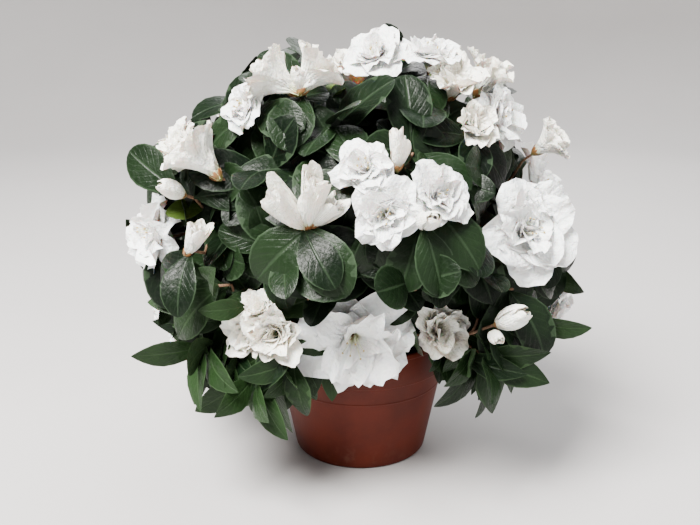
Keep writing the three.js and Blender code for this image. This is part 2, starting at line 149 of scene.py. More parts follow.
def piece(name, points, faces, paint, slot, replaced=(), **more):
    """A piece from points in millimetres, with the body that it rides on and the solids that it stands for;
    its slot is not used. A face of so many corners counts as two triangles fewer."""
    mesh = mesh_of(name, np.asarray(points, float).reshape(-1, 3) * MM, faces, paint, **more)
    thing = put(name, mesh)
    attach(thing, "root")
    if replaced:
        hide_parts(*replaced)
    print(name, "triangles", len(mesh.loops) - 2 * len(mesh.polygons))
    return thing


# %% [markdown]
# Finishes are node trees. They could be wired node by node; a small class that wraps a socket lets a
# sum of patterns be written as a Python sum, and one method makes every other node.


# %% Finishes: sockets as sums
class Wire:
    """A socket of a finish: plus, minus and times add a Math node."""

    def __init__(self, paint, socket):
        self.paint = paint
        self.socket = socket

    def maths(self, operation, *terms):
        """A Math node of wires and numbers."""
        return self.paint.node("ShaderNodeMath", {"operation": operation}, dict(enumerate(terms)))

    def __add__(self, other):
        return self.maths("ADD", self, other)

    def __sub__(self, other):
        return self.maths("SUBTRACT", self, other)

    def __rsub__(self, other):
        return self.maths("SUBTRACT", other, self)

    def __mul__(self, other):
        return self.maths("MULTIPLY", self, other)

    def __abs__(self):
        return self.maths("ABSOLUTE", self)

    def sine(self):
        """The sine of this socket, in radians."""
        return self.maths("SINE", self)

    __radd__ = __add__
    __rmul__ = __mul__


# %% Finishes: one shader and what feeds it
class Paint:
    """A finish: one Principled shader and the nodes that feed it."""

    def __init__(self, name, **constants):
        self.material = bpy.data.materials.new(name)
        self.material.use_nodes = True
        self.nodes = self.material.node_tree.nodes
        self.links = self.material.node_tree.links
        self.shader = self.nodes["Principled BSDF"]
        for key, value in constants.items():
            self.shader.inputs[key.replace("_", " ")].default_value = value

    def node(self, kind, settings=None, inputs=None, out=0):
        """A node of a kind: its settings first, then its sockets' values or wires; gives one output."""
        made = self.nodes.new(kind)
        for key, value in (settings or {}).items():
            setattr(made, key, value)
        for key, value in (inputs or {}).items():
            if isinstance(value, Wire):
                self.links.new(value.socket, made.inputs[key])
            elif made.inputs[key].type == "RGBA":
                made.inputs[key].default_value = (*value, 1.0)
            else:
                made.inputs[key].default_value = value
        return Wire(self, made.outputs[out])

    def feed(self, **wires):
        """The shader's varying sockets; gives the finished material."""
        for key, wire in wires.items():
            self.links.new(wire.socket, self.shader.inputs[key.replace("_", " ")])
        print("finish", self.material.name, "nodes", len(self.nodes))
        return self.material

    def place(self, scale=(1.0, 1.0, 1.0)):
        """Where a point lies on the object, in metres, each way times its scale."""
        at = self.node("ShaderNodeTexCoord", out="Object")
        return self.node("ShaderNodeMapping", {}, {"Vector": at, "Scale": scale})

    def part(self, vector, way):
        """One part of a vector: X, Y or Z."""
        return self.node("ShaderNodeSeparateXYZ", {}, {0: vector}, out=way)

    def surface(self, way):
        """How far across (X) or along (Y) its leaf or petal a point lies, from 0 to 1."""
        return self.part(self.node("ShaderNodeUVMap", {"uv_map": "surface"}), way)

    def value(self, name):
        """A number that the mesh keeps for each point."""
        return self.node("ShaderNodeAttribute", {"attribute_name": name}, out="Fac")

    def noise(self, size, detail=3.0, rough=0.55, scale=(1.0, 1.0, 1.0)):
        """Soft noise whose patches are about size metres across."""
        inputs = {"Vector": self.place(scale), "Scale": 1.0 / size, "Detail": detail, "Roughness": rough}
        return self.node("ShaderNodeTexNoise", {}, inputs)

    def between(self, value, low, high):
        """Nothing below low, all above high, and a soft step from one to the other."""
        inputs = {"Value": value, "From Min": low, "From Max": high}
        return self.node("ShaderNodeMapRange", {"interpolation_type": "SMOOTHSTEP"}, inputs)

    def mix(self, share, a, b):
        """One colour passing into another by a share."""
        return self.node("ShaderNodeMix", {"data_type": "RGBA"}, {0: share, 6: a, 7: b}, out=2)

    def bump(self, height, strength, distance):
        """Relief: a height that tilts the light, over a distance in metres."""
        inputs = {"Height": height, "Strength": strength, "Distance": distance}
        return self.node("ShaderNodeBump", {}, inputs)


# %% [markdown]
# The pot is a thin-walled plastic pot with a deep rim band, turned about its axis. It could be a
# cylinder with bevels; a profile of named points turned on a grid gives the step under the band, the
# rounded lip and the faint ring line at once.

# %% Pot: sizes
POT_HEIGHT = 92.0
RIM_RADIUS = 65.0
RIM_BAND = 24.0
RIM_STEP = 2.4
LIP = 0.25
BASE_RADIUS = 49.0
FOOT_RING = 8.0
FOOT_BEVEL = 1.4
RING_LINE = 55.0
RING_RISE = 0.35
WALL = 1.7
FLOOR = 2.2
POT_SIDES = 160
band_foot = POT_HEIGHT - RIM_BAND
body_top = RIM_RADIUS - RIM_STEP - 0.6
print("pot: the band's foot at", band_foot, "and the body's top radius", body_top)


# %% Pot: finish
def plastic():
    """Brick-red plastic: a dull sheen, cloudy patches, fine scratches and dusty splashes near the foot."""
    paint = Paint("brick_plastic", IOR=1.46, Specular_IOR_Level=0.18)
    clouds = paint.noise(0.03, 4.0)
    grains = paint.noise(0.0016, 2.0)
    foot = 1.0 - paint.between(paint.part(paint.place(), "Z"), 0.002, 0.03)
    dust = foot * paint.between(paint.noise(0.006, 5.0), 0.5, 0.75)
    tint = paint.mix(paint.between(clouds, 0.3, 0.7), (0.053, 0.0064, 0.0021), (0.078, 0.0108, 0.0038))
    tint = paint.mix(paint.between(grains, 0.55, 0.8) * 0.25, tint, (0.112, 0.021, 0.009))
    tint = paint.mix(dust * 0.55, tint, (0.10, 0.042, 0.027))
    scratches = paint.noise(0.004, 2.0, 0.5, (1.0, 1.0, 9.0))
    rough = 0.42 + 0.18 * clouds + 0.2 * dust
    relief = paint.bump(grains + 0.6 * scratches, 0.12, 0.0004)
    return paint.feed(Base_Color=tint, Roughness=rough, Normal=relief)


# %% Pot: shell
def rounded(profile, radius=0.7, steps=4):
    """A profile whose corners are cut by short curves: a point on each side of a corner and a bend
    between them."""
    profile = np.array(profile, float)
    result = [profile[0]]
    for before, corner, after in zip(profile[:-2], profile[1:-1], profile[2:]):
        cut = min(radius, 0.45 * np.linalg.norm(corner - before), 0.45 * np.linalg.norm(after - corner))
        a = corner + unit(before - corner) * cut
        b = corner + unit(after - corner) * cut
        t = np.linspace(0, 1, steps)[:, None]
        result.extend((1 - t) ** 2 * a + 2 * t * (1 - t) * corner + t**2 * b)
    result.append(profile[-1])
    return np.array(result)


def wall_radius(z):
    """The outer wall's radius at a height under the band: a straight line from foot to band."""
    return BASE_RADIUS + (body_top - BASE_RADIUS) * (z - FOOT_BEVEL) / (band_foot - 0.4 - FOOT_BEVEL)


outer = [(BASE_RADIUS - FOOT_RING, 0.0), (BASE_RADIUS - FOOT_BEVEL, 0.0), (BASE_RADIUS, FOOT_BEVEL)]
for off, rise in ((-0.8, 0.0), (-0.4, RING_RISE), (0.4, RING_RISE), (0.8, 0.0)):
    outer.append((wall_radius(RING_LINE + off) + rise, RING_LINE + off))
outer += [(body_top, band_foot - 0.4), (RIM_RADIUS - 0.7, band_foot + 0.6)]
outer += [(RIM_RADIUS - 0.2, POT_HEIGHT - 4.2), (RIM_RADIUS + LIP, POT_HEIGHT - 3.6)]
outer += [(RIM_RADIUS + LIP, POT_HEIGHT - 0.8), (RIM_RADIUS - 0.6, POT_HEIGHT)]
inner = [(RIM_RADIUS - WALL, POT_HEIGHT), (RIM_RADIUS - WALL - 0.7, band_foot + 2.4)]
inner += [(body_top - WALL, band_foot - 1.0), (BASE_RADIUS - WALL, FLOOR), (BASE_RADIUS - FOOT_RING, FLOOR)]
profile = rounded(outer + inner)
rows = len(profile)
shell = polar(profile[:, :1], turns_of(POT_SIDES), profile[:, 1:])
shell_faces = [grid_faces(rows, POT_SIDES, 1, True), cap(POT_SIDES, below=True)]
shell_faces.append(cap(POT_SIDES, (rows - 1) * POT_SIDES))
pot = piece("pot_shell", shell, shell_faces, plastic(), "pot", ["pot"])

# %% [markdown]
# Drain holes. Eight round holes let the water out of the real pot's floor. They could be left out of
# sight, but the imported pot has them; one Boolean with eight short rods cuts them all at once.

# %% Pot: drain holes
DRAIN_HOLES = 8
DRAIN_RADIUS = 4.5
DRAIN_CIRCLE = 34.0
ROD_SIDES = 24
ROD_ENDS = (-1.0, 4.0)
turns = (np.arange(DRAIN_HOLES) + 0.5) / DRAIN_HOLES * 2 * np.pi
rings = polar(DRAIN_CIRCLE, turns[:, None], 0.0) + polar(DRAIN_RADIUS, turns_of(ROD_SIDES), 0.0)
rods = np.stack([rings + z * UP for z in ROD_ENDS], 1)
first = 2 * ROD_SIDES * np.arange(DRAIN_HOLES)[:, None]
rod_faces = [grid_faces(2, ROD_SIDES, DRAIN_HOLES, True)]
rod_faces += [cap(ROD_SIDES, first, below=True), cap(ROD_SIDES, first + ROD_SIDES)]
cutter = piece("drain_cutter", rods, rod_faces, pot.data.materials[0], "pot", smooth=False)
cut = pot.modifiers.new("drain_holes", "BOOLEAN")
cut.object = cutter
cut.operation = "DIFFERENCE"
cut.solver = "EXACT"
bpy.context.view_layer.update()
opened = bpy.data.meshes.new_from_object(pot.evaluated_get(bpy.context.evaluated_depsgraph_get()))
pot.modifiers.clear()
pot.data = opened
bpy.data.objects.remove(cutter)
flat = np.array([abs(p.normal.z) > 0.99 for p in opened.polygons])
opened.polygons.foreach_set("use_smooth", ~flat)
print("pot faces", len(opened.polygons))

# %% [markdown]
# Peat fills the pot. It could be a flat disc with a bump map; its crumbs stand up far enough to be
# seen at the rim, so the top is a grid lifted by sums of waves, with loose crumbs strewn over it.

# %% Peat: finish and heap
SOIL_TOP = 80.0
HEAP_SIDES = 120


def peat():
    """Dark moist peat: nearly black hollows, brown crumbs and a few pale fibres."""
    paint = Paint("peat", IOR=1.4)
    lumps = paint.noise(0.004, 6.0, 0.65)
    fibres = paint.noise(0.002, 3.0, 0.6, (1.0, 6.0, 1.0))
    tint = paint.mix(paint.between(lumps, 0.35, 0.7), (0.012, 0.008, 0.006), (0.055, 0.036, 0.024))
    tint = paint.mix(paint.between(fibres, 0.68, 0.78) * 0.6, tint, (0.14, 0.10, 0.065))
    return paint.feed(Base_Color=tint, Roughness=0.7 + 0.25 * lumps, Normal=paint.bump(lumps, 0.8, 0.0015))


def inner_radius(z):
    """The inside of the pot's wall at a height, along the straight lines of its profile."""
    line = np.array(inner[:4])[::-1]
    return np.interp(z, line[:, 1], line[:, 0])


peat_paint = peat()
spokes = turns_of(HEAP_SIDES)
reach = np.linspace(0.0, 1.0, 34)[:, None] ** 0.8 * (inner_radius(SOIL_TOP) - 0.2)
x, y = polar(reach, spokes, 0.0)[..., :2].transpose(2, 0, 1)
swell = 0.9 * np.sin(x * 0.16 + 1.2) * np.sin(y * 0.19 + 0.4)
swell += 0.55 * np.sin(x * 0.61 + 2.0 * np.sin(y * 0.4)) + 0.4 * np.sin(y * 0.83 + x * 0.5)
rise = SOIL_TOP - 1.2 + swell * (0.35 + 0.65 * (1 - (reach / reach.max()) ** 4))
sides = [polar(inner_radius(z) - 0.35, spokes, z) for z in (band_foot + 2.7, band_foot - 0.85, FLOOR + 0.3)]
heap = np.concatenate([polar(reach, spokes, rise), sides])
heap_faces = [grid_faces(len(heap), HEAP_SIDES, 1, True)[:, ::-1]]
heap_faces.append(cap(HEAP_SIDES, (len(heap) - 1) * HEAP_SIDES, below=True))
piece("peat_heap", heap, heap_faces, peat_paint, "soil", ["soil"])

# %% Peat: loose crumbs
CRUMBS = 420
BALL_ROWS = 4
BALL_SIDES = 6
crumb_turn = rng.random(CRUMBS) * 2 * np.pi
crumb_reach = np.sqrt(rng.random(CRUMBS)) * (inner_radius(SOIL_TOP) - 2.5)
crumb_size = 0.6 + 1.5 * rng.random(CRUMBS) ** 2
tilt = np.linspace(0.001, np.pi - 0.001, BALL_ROWS)[:, None]
ball = polar(np.sin(tilt), turns_of(BALL_SIDES), np.cos(tilt))
rock = 0.75 + 0.5 * rng.random((CRUMBS, BALL_ROWS, BALL_SIDES, 1))
crumbs = ball[None, ::-1] * rock * crumb_size[:, None, None, None] * np.array([1, 1, 0.7])
crumbs += polar(crumb_reach, crumb_turn, SOIL_TOP - 0.6 + 0.3 * crumb_size)[:, None, None]
piece("peat_crumbs", crumbs, [grid_faces(BALL_ROWS, BALL_SIDES, CRUMBS, True)], peat_paint, "soil")

# %% [markdown]
# The crown's rule. The twig tips lie on a dome, spread by the golden angle as on a sunflower; each
# bloom draws the nearest tip to itself, and each tip belongs to the mass of leaves whose middle is
# nearest. It could be modelled bough by bough; the rule, its sizes and its seed are those of the
# solids, so that both grow alike. Nine blooms only are a little finer here in kind, size or place.

# %% Crown: sizes of the dome
GAP = 0.3
STEM_FORK = 113.0
STEM_LEAN = 5.0
STEM_FLARE = 9.5
STEM_RADIUS = 5.4
CROWN_SHIFT = -6.0
CROWN_MIDDLE = 128.0
TIP_REACH = 138.0
TIP_RISE = 148.0
TIP_FALL = 64.0
LOWEST_TIP = -42.0
SHOOTS = 76
GOLDEN = 137.508
OPEN_SIDE = (2.0, 36.0)
OPEN_BELOW = 112.0
FRONT_SIDE = (-52.0, 60.0)
FRONT_SLOPE = (46.0, 0.75)
OTHER_SLOPE = (62.0, 1.35)
SLOPE_REACH = 110
# For each ring: its middles' height, the reach and height of its boughs' tips, and each middle's
# azimuth from the front and reach from the crown's axis.
RINGS = {
    "skirt": (112, (74, 115), [(a, 112) for a in (-38, 0, 38, 80, 126, 178, -128, -82)]),
    "waist": (188, (70, 165), [(a, 112) for a in (-60, -20, 12, 45, 92, 142, -168, -112)]),
    "upper": (254, (38, 208), [(-50, 66), (62, 80), (180, 86)]),
    "crown": (270, (6, 220), [(150, 12)]),
}
print("masses", sum(len(middles) for _, _, middles in RINGS.values()))

# %% Crown: where the blossom stands
# Each bloom's azimuth from the front, reach from the crown's axis, height, width and kind.
BLOSSOM = [
    (1, 112, 117, 68, "wide"),
    (-21, 130, 130, 33, "half"),
    (-28, 125, 146, 24, "half"),
    (-15, 141, 211, 28, "slim"),
    (-43, 142, 243, 38, "half"),
    (-64, 128, 242, 26, "half"),
    (-62, 152, 181, 48, "wide"),
    (-40, 145, 188, 20, "slim"),
    (-40, 106, 264, 32, "open"),
    (-34, 95, 285, 36, "half"),
    (-12, 81, 290, 34, "half"),
    (3, 130, 236, 35, "open"),
    (8, 142, 209, 42, "open"),
    (22, 140, 220, 42, "open"),
    (50, 148, 191, 69, "open"),
    (66, 110, 254, 46, "open"),
    (20, 42, 296, 44, "open"),
    (58, 62, 297, 46, "open"),
    (52, 84, 281, 32, "half"),
    (76, 96, 283, 32, "half"),
    (40, 148, 138, 22, "bud"),
    (31, 112, 124, 34, "half"),
]
SMALL_BLOSSOM = [
    (-45, 148, 215, 17, "bud"),
    (-52, 136, 243, 22, "half"),
    (-21, 84, 276, 19, "bud"),
    (17, 147, 206, 19, "bud"),
    (12, 126, 243, 17, "slim"),
    (47, 108, 254, 28, "half"),
    (77, 140, 238, 28, "half"),
    (-9, 139, 216, 28, "slim"),
    (-6, 135, 209, 19, "slim"),
    (36, 147, 130, 13, "bud"),
    (-31, 127, 126, 31, "half"),
    (55, 150, 172, 34, "open"),
    (58, 146, 203, 34, "open"),
]
# A spur is a foot that slim and half-open blooms fan out from: its azimuth, reach and height.
SPURS = [(-11, 132, 198), (12, 126, 230), (-36, 132, 224), (-21, 88, 270), (-43, 146, 176)]
# How far a bloom's foot lies under its middle, as a share of its width.
DEPTH = {"open": 0.36, "wide": 0.36, "half": 0.75, "slim": 0.7, "bud": 0.5}
OPEN_KINDS = ("open", "wide")
# Past an azimuth, a share of each ring's masses bears a bloom so far out and at least so wide.
HIDDEN_SIDE = 78
HIDDEN_SHARE = {"skirt": 0.55, "waist": 1, "upper": 1, "crown": 1}
HIDDEN_REACH = {"skirt": 32, "waist": 30, "upper": 12, "crown": 10}
HIDDEN_WIDTH = {"open": 50, "half": 34}
HIDDEN_GROWTH = 14
HIDDEN_JOLT = 16
HIDDEN_OPEN = 0.75
# Smaller ones stand between these, round a part of the back in even steps of azimuth.
SMALL_HIDDEN = 20
SMALL_WIDTH = {"half": 34, "bud": 17, "slim": 28, "open": 42}
BACK_FROM = 106
BACK_ROUND = 142
BACK_STEP = 61.8
BACK_REACH = 147
BACK_RISE = 152
print("blooms on the side that shows", len(BLOSSOM + SMALL_BLOSSOM), "spurs", len(SPURS))


# %% Crown: places and directions
def place(azimuth, reach, height):
    """A point by its azimuth from the front, its reach from the crown's axis and its height."""
    a = np.radians(azimuth)
    x = CROWN_SHIFT + reach * np.sin(a)
    return np.stack(np.broadcast_arrays(x, -reach * np.cos(a), height), -1).astype(float)


def outward(p):
    """The dome's own direction at a point: its offsets divided by the squares of its reach and rise."""
    rise = np.where(p[..., 2] > CROWN_MIDDLE, TIP_RISE, TIP_FALL * 1.6)
    flat = [(p[..., 0] - CROWN_SHIFT) / TIP_REACH**2, p[..., 1] / TIP_REACH**2]
    return unit(np.stack([*flat, (p[..., 2] - CROWN_MIDDLE) / rise**2], -1))


def on_side(p, side):
    """True for a point whose azimuth from the front lies between a side's two."""
    azimuth = np.degrees(np.arctan2(p[..., 0] - CROWN_SHIFT, -p[..., 1]))
    return (azimuth > side[0]) & (azimuth < side[1])


def over_open_side(p):
    """True for a point over the side of the pot that no shoot hangs over."""
    return (p[..., 2] < OPEN_BELOW) & on_side(p, OPEN_SIDE)


def over_underside(p):
    """True above the slope on which the leaves end below: its height at a reach, and its rise with it."""
    front = on_side(p, FRONT_SIDE)
    foot, rise = (np.where(front, a, b) for a, b in zip(FRONT_SLOPE, OTHER_SLOPE))
    return p[..., 2] > foot + rise * (np.hypot(p[..., 0] - CROWN_SHIFT, p[..., 1]) - SLOPE_REACH)


def turn_between(a, b):
    """How far apart two azimuths are, from 0 to 180."""
    return abs((a - b) % 360 - 360 * ((a - b) % 360 > 180))


print("direction at the dome's top", outward(place(0, 0, CROWN_MIDDLE + TIP_RISE)))


# %% Crown: paths, dome tips and repeatable numbers
def seeded(seed):
    """Numbers from 0 to 1: each is the last times 1664525 plus 1013904223, modulo 2 to the 32nd."""
    state = (seed + 17) * 2654435761 % 2**32
    count = 0
    while True:
        state = (state * 1664525 + 1013904223) % 2**32
        count += 1
        if count > 2:
            yield state / 2**32


def bent(start, bend, end, steps):
    """A path in equal steps: the squares of the shares to each end weigh the ends, and twice their
    product weighs the bend."""
    t = np.linspace(0, 1, steps + 1)[:, None]
    return (1 - t) ** 2 * start + 2 * t * (1 - t) * bend + t**2 * end


def dome_tip(i, count, lowest, scale=1.0, offset=0.0):
    """One of count tips on a dome of a scale: the sine of its elevation grows in equal steps from the
    lowest to 1, and its azimuth by the golden angle."""
    sine = lowest + (1 - lowest) * (i + 0.5) / count
    rise = (TIP_RISE if sine > 0 else TIP_FALL) * scale
    reach = TIP_REACH * scale * math.sqrt(1 - sine * sine)
    return place(i * GOLDEN + offset, reach, CROWN_MIDDLE + sine * rise)


def along_and_off(points, middle, axis):
    """How far points lie along an axis from a middle, and how far off that axis."""
    off = points - middle
    rise = off @ axis
    return rise, np.sqrt(np.maximum((off**2).sum(-1) - rise**2, 0))


lowest = math.sin(math.radians(LOWEST_TIP))
print("first and last tip", dome_tip(0, SHOOTS, lowest), dome_tip(SHOOTS - 1, SHOOTS, lowest))

# %% [markdown]
# Stem and boughs. One short stem leans and forks. The waist's boughs and the leader leave the stem,
# the skirt's boughs leave the waist's, and the upper ones the leader. They could be drawn one by one;
# here each is a path bent once, first out or up and then to its mass of leaves.

# %% Crown: masses, stem and boughs
# Twigs and leaves make one piece for each group; the crown's one mass goes with the upper ones.
GROUPS = ("skirt", "waist", "upper")
masses = []
for ring_name, (height, tip, middles) in RINGS.items():
    for i, (azimuth, mass_reach) in enumerate(middles):
        mass = {"name": f"{ring_name}_{i + 1}", "ring": ring_name, "azimuth": azimuth}
        mass["group"] = "upper" if ring_name == "crown" else ring_name
        mass["middle"] = place(azimuth, mass_reach, height)
        mass["tip"] = place(azimuth, *tip)
        masses.append(mass)
mass_middles = np.array([m["middle"] for m in masses])


def stem_at(z):
    """A point of the leaning stem at a height."""
    return np.array([-(z - SOIL_TOP) * math.tan(math.radians(STEM_LEAN)), 0.0, z])


BOUGH_STEPS = 4
BARK_STEPS = 22
# The radii of a ring's boughs, at the foot and at the tip.
BOUGH_RADII = {"skirt": (1.8, 1.4), "waist": (2.5, 1.7), "upper": (1.8, 1.4), "crown": (3.4, 1.8)}
# How far out and how far up a ring's boughs bend.
BENDS = {"skirt": (22, 3), "upper": (14, 18), "crown": (0, 50)}
# By turns, the waist's boughs start at one of two heights on the stem, and bend so far out and up.
WAIST_STARTS = ((105, 26, 21), (97, 26, 17))


def bough(mass, start, out, up):
    """A bough from a start to its mass, bent at a point that lies so far out towards the mass, level
    with the start, and so far up."""
    level = unit(np.array([mass["tip"][0], mass["tip"][1], start[2]]) - start)
    bend = start + out * level + up * UP
    path = bent(start, bend, mass["tip"], BOUGH_STEPS)
    mass.update(path=path, smooth=bent(start, bend, mass["tip"], BARK_STEPS))
    mass["heading"] = unit(path[-1] - path[-2])


stem_foot = SOIL_TOP + GAP
waist = [m for m in masses if m["ring"] == "waist"]
for i, mass in enumerate(waist):
    height, *bend = WAIST_STARTS[i % 2]
    bough(mass, stem_at(height), *bend)
leader = masses[-1]
stem_axis = unit(stem_at(STEM_FORK) - stem_at(stem_foot + 11))
bough(leader, stem_at(STEM_FORK) - stem_axis, *BENDS["crown"])
for mass in masses:
    if mass["ring"] == "skirt":
        parent = min(waist, key=lambda m: turn_between(m["azimuth"], mass["azimuth"]))
        bough(mass, parent["path"][1], *BENDS["skirt"])
    elif mass["ring"] == "upper":
        bough(mass, leader["path"][1 if mass["name"] == "upper_2" else 2], *BENDS["upper"])
print("boughs", len(masses))

# %% [markdown]
# Shoots and blossom. A florist's azalea flowers at the ends of its shoots, a few blooms to a spur.
# The blooms could be strewn like the leaves; the ones on the side that shows have places of their
# own, and seeded ones carry the blossom round the back.

# %% Crown: shoots and blossom
TIP_ROOM = 21
TIP_OVER_FOOT = 4.5
CROWD_REACH = 46
SPUR_REACH = 40
SMALL_APART = 34
shoots = []
for i in range(SHOOTS):
    tip = dome_tip(i, SHOOTS, lowest)
    if not over_open_side(tip):
        shoots.append({"tip": tip, "axis": outward(tip), "bloom": None})
shown = np.array([place(*b[:3]) for b in BLOSSOM + SMALL_BLOSSOM])
spurs = [place(*s) for s in SPURS]


def far_from(p, q):
    """The distance from one point to another."""
    return np.linalg.norm(p - q)


def bear_bloom(middle, size, kind):
    """A bloom takes the nearest free shoot if its tip is near the bloom's foot, or else a new one, and
    draws its tip to its foot. It leans away from the blooms that crowd it, each by one over the square
    of its distance, and to the light; a slim or half-open one near a spur points away from the spur."""
    off = middle - shown
    far = np.linalg.norm(off, axis=1, keepdims=True)
    crowd = (off / np.maximum(far, 1) ** 3 * ((far > 1) & (far < CROWD_REACH))).sum(0)
    light = np.array([0.0, -0.35, 0.0]) * (middle[1] < 20) + (0.45 * UP if kind in ("half", "bud") else 0)
    axis = unit(outward(middle) + light + 0.4 * crowd / max(np.linalg.norm(crowd), 0.0008))
    spur = min(spurs, key=lambda s: far_from(middle, s))
    fans = kind in ("slim", "half") and far_from(middle, spur) < SPUR_REACH
    if fans:
        axis = unit(middle - spur)
    tip = middle + axis * (TIP_OVER_FOOT - DEPTH[kind] * size)
    taken = min([s for s in shoots if s["bloom"] is None], key=lambda s: far_from(s["tip"], tip))
    if far_from(taken["tip"], tip) >= TIP_ROOM:
        taken = {}
        shoots.append(taken)
    bloom = {"middle": middle, "size": size, "kind": kind, "axis": axis}
    taken.update(tip=tip, axis=outward(middle) if fans else axis, bloom=bloom)


for *spot, size, kind in BLOSSOM:
    bear_bloom(place(*spot), size, kind)
hidden = seeded(SEED)
for mass in masses:
    if turn_between(mass["azimuth"], 0) < HIDDEN_SIDE or next(hidden) > HIDDEN_SHARE[mass["ring"]]:
        continue
    spot = mass["middle"] + HIDDEN_JOLT * np.array([next(hidden) - 0.5 for _ in range(3)])
    kind = "open" if next(hidden) < HIDDEN_OPEN else "half"
    size = HIDDEN_WIDTH[kind] + HIDDEN_GROWTH * next(hidden)
    bear_bloom(spot + HIDDEN_REACH[mass["ring"]] * outward(spot), size, kind)
for *spot, size, kind in SMALL_BLOSSOM:
    bear_bloom(place(*spot), size, kind)
for i in range(SMALL_HIDDEN):
    sine = -0.2 + 1.15 * (i + 0.5) / SMALL_HIDDEN
    reach = BACK_REACH * math.sqrt(1 - sine * sine)
    spot = place(BACK_FROM + (i * BACK_STEP) % BACK_ROUND, reach, CROWN_MIDDLE + 10 + BACK_RISE * sine)
    kind = ("half", "bud", "slim", "open")[i % 4]
    size = SMALL_WIDTH[kind] * (0.9 + 0.25 * rng.random())
    if all(far_from(spot, s["bloom"]["middle"]) > SMALL_APART for s in shoots if s["bloom"]):
        bear_bloom(spot, size, kind)
blooms = [s["bloom"] for s in shoots if s["bloom"]]
print("shoots", len(shoots), "blooms", len(blooms))

# %% [markdown]
# Twigs. Each shoot's twig leaves the stem of its mass and ends along the shoot's own axis. Finer twigs
# leave these and end on two smaller domes inside the first, as the older leaves of a clipped shrub do,
# so that the crown is full and dark inside. They could be straight rods; all are bent paths.


# %% Twigs: paths
def mass_at(p):
    """The mass whose middle is nearest to a point."""
    return masses[int(np.argmin(np.linalg.norm(mass_middles - p, axis=1)))]


def twig_path(start, bend, tip, axis, steps=7, neck=13.0):
    """A bent path to a point one neck below the tip, then straight along the axis to the tip."""
    return np.concatenate([bent(start, bend, tip - neck * axis, steps), [tip]])


def meets_bloom(path, own=None):
    """True where a twig passes through a bloom other than its own, or out in front of one."""
    for bloom in blooms:
        if own is bloom:
            continue
        size = bloom["size"]
        rise, away = along_and_off(path, bloom["middle"], bloom["axis"])
        if ((rise > -0.2 * size) & (rise < 1.2 * size) & (away < 0.5 * size)).any():
            return True
    return False


# %% Twigs: one to each shoot
# The radii of a mass's stem, of its shoots' twigs and of the finer ones, at the foot and at the tip.
STEM_RADII = (1.8, 1.3)
TWIG_RADII = (1.25, 0.85)
FINE_RADII = (0.95, 0.7)
twigs = []
for index, mass in enumerate(masses):
    random = seeded(SEED + 31 * (index + 1))
    start = mass["tip"] - 0.5 * mass["heading"]
    toward = unit(mass["middle"] - start)
    fork = mass["fork"] = start + toward * (10 if mass["ring"] == "crown" else 14)
    path = bent(start, mass["tip"] + 5 * mass["heading"], fork + 6 * toward, 6)
    twigs.append((path, STEM_RADII, mass["group"]))
    mass["twigs"] = []
    for shoot in shoots:
        tip = shoot["tip"]
        if mass_at(shoot["bloom"]["middle"] if shoot["bloom"] else tip) is not mass:
            continue
        spread = unit(mass["middle"] - fork) * np.linalg.norm(tip - fork) * 0.35
        path = twig_path(fork, fork + spread + UP * (next(random) - 0.3) * 8, tip, shoot["axis"])
        shoot.update(mass=mass, rank=-1 if meets_bloom(path, shoot["bloom"]) else 0)
        if shoot["rank"] == 0:
            mass["twigs"].append(path)
            twigs.append((path, TWIG_RADII, mass["group"]))
print("twigs", len(twigs))

# %% Twigs: finer ones inside
# For each dome: its tips, its scale, its first azimuth and its shoots' rank, which is 0 on the outer
# dome and -1 for a shoot that bears no leaves, because its twig would meet a bloom.
INNER_DOMES = [(150, 0.88, 61.0, 1), (110, 0.72, 24.0, 2)]
INNER_JOLT = 12
INNER_LEAN = 0.55
LOW_TIP = 100
RIM_ROOM = 8
for count, scale, offset, rank in INNER_DOMES:
    for i in range(count):
        jolt = INNER_JOLT * (rng.random(3) - 0.5)
        tip = dome_tip(i, count, lowest * 0.9, scale, offset) + jolt
        over_pot = tip[2] < LOW_TIP and math.hypot(tip[0], tip[1]) < RIM_RADIUS + RIM_ROOM
        if over_pot or over_open_side(tip):
            continue
        mass = mass_at(tip)
        axis = unit(outward(tip) + INNER_LEAN * (rng.random(3) - 0.5))
        spots = [(p[k], p[k + 1] - p[k]) for p in mass["twigs"] for k in (2, 3, 4, 5)]
        spots.append((mass["fork"], mass["middle"] - mass["fork"]))
        spot, heading = min(spots, key=lambda s: far_from(tip, s[0]))
        far = far_from(tip, spot)
        path = twig_path(spot, spot + unit(heading) * far * 0.4, tip, axis, 5, min(9.0, 0.4 * far))
        if not meets_bloom(path):
            twigs.append((path, FINE_RADII, mass["group"]))
            shoots.append({"tip": tip, "axis": axis, "bloom": None, "mass": mass, "rank": rank})
shoots = [s for s in shoots if s["rank"] >= 0]
print("twigs", len(twigs), "shoots", len(shoots))

# %% [markdown]
# Bark covers the stem, the boughs and the twigs. It could be a bump map on smooth pipes; each limb is
# a ring of points carried along its path instead, whose radius swells with ridges and knots, so that
# the relief is real and the noise in the finish only adds cracks and flecks.


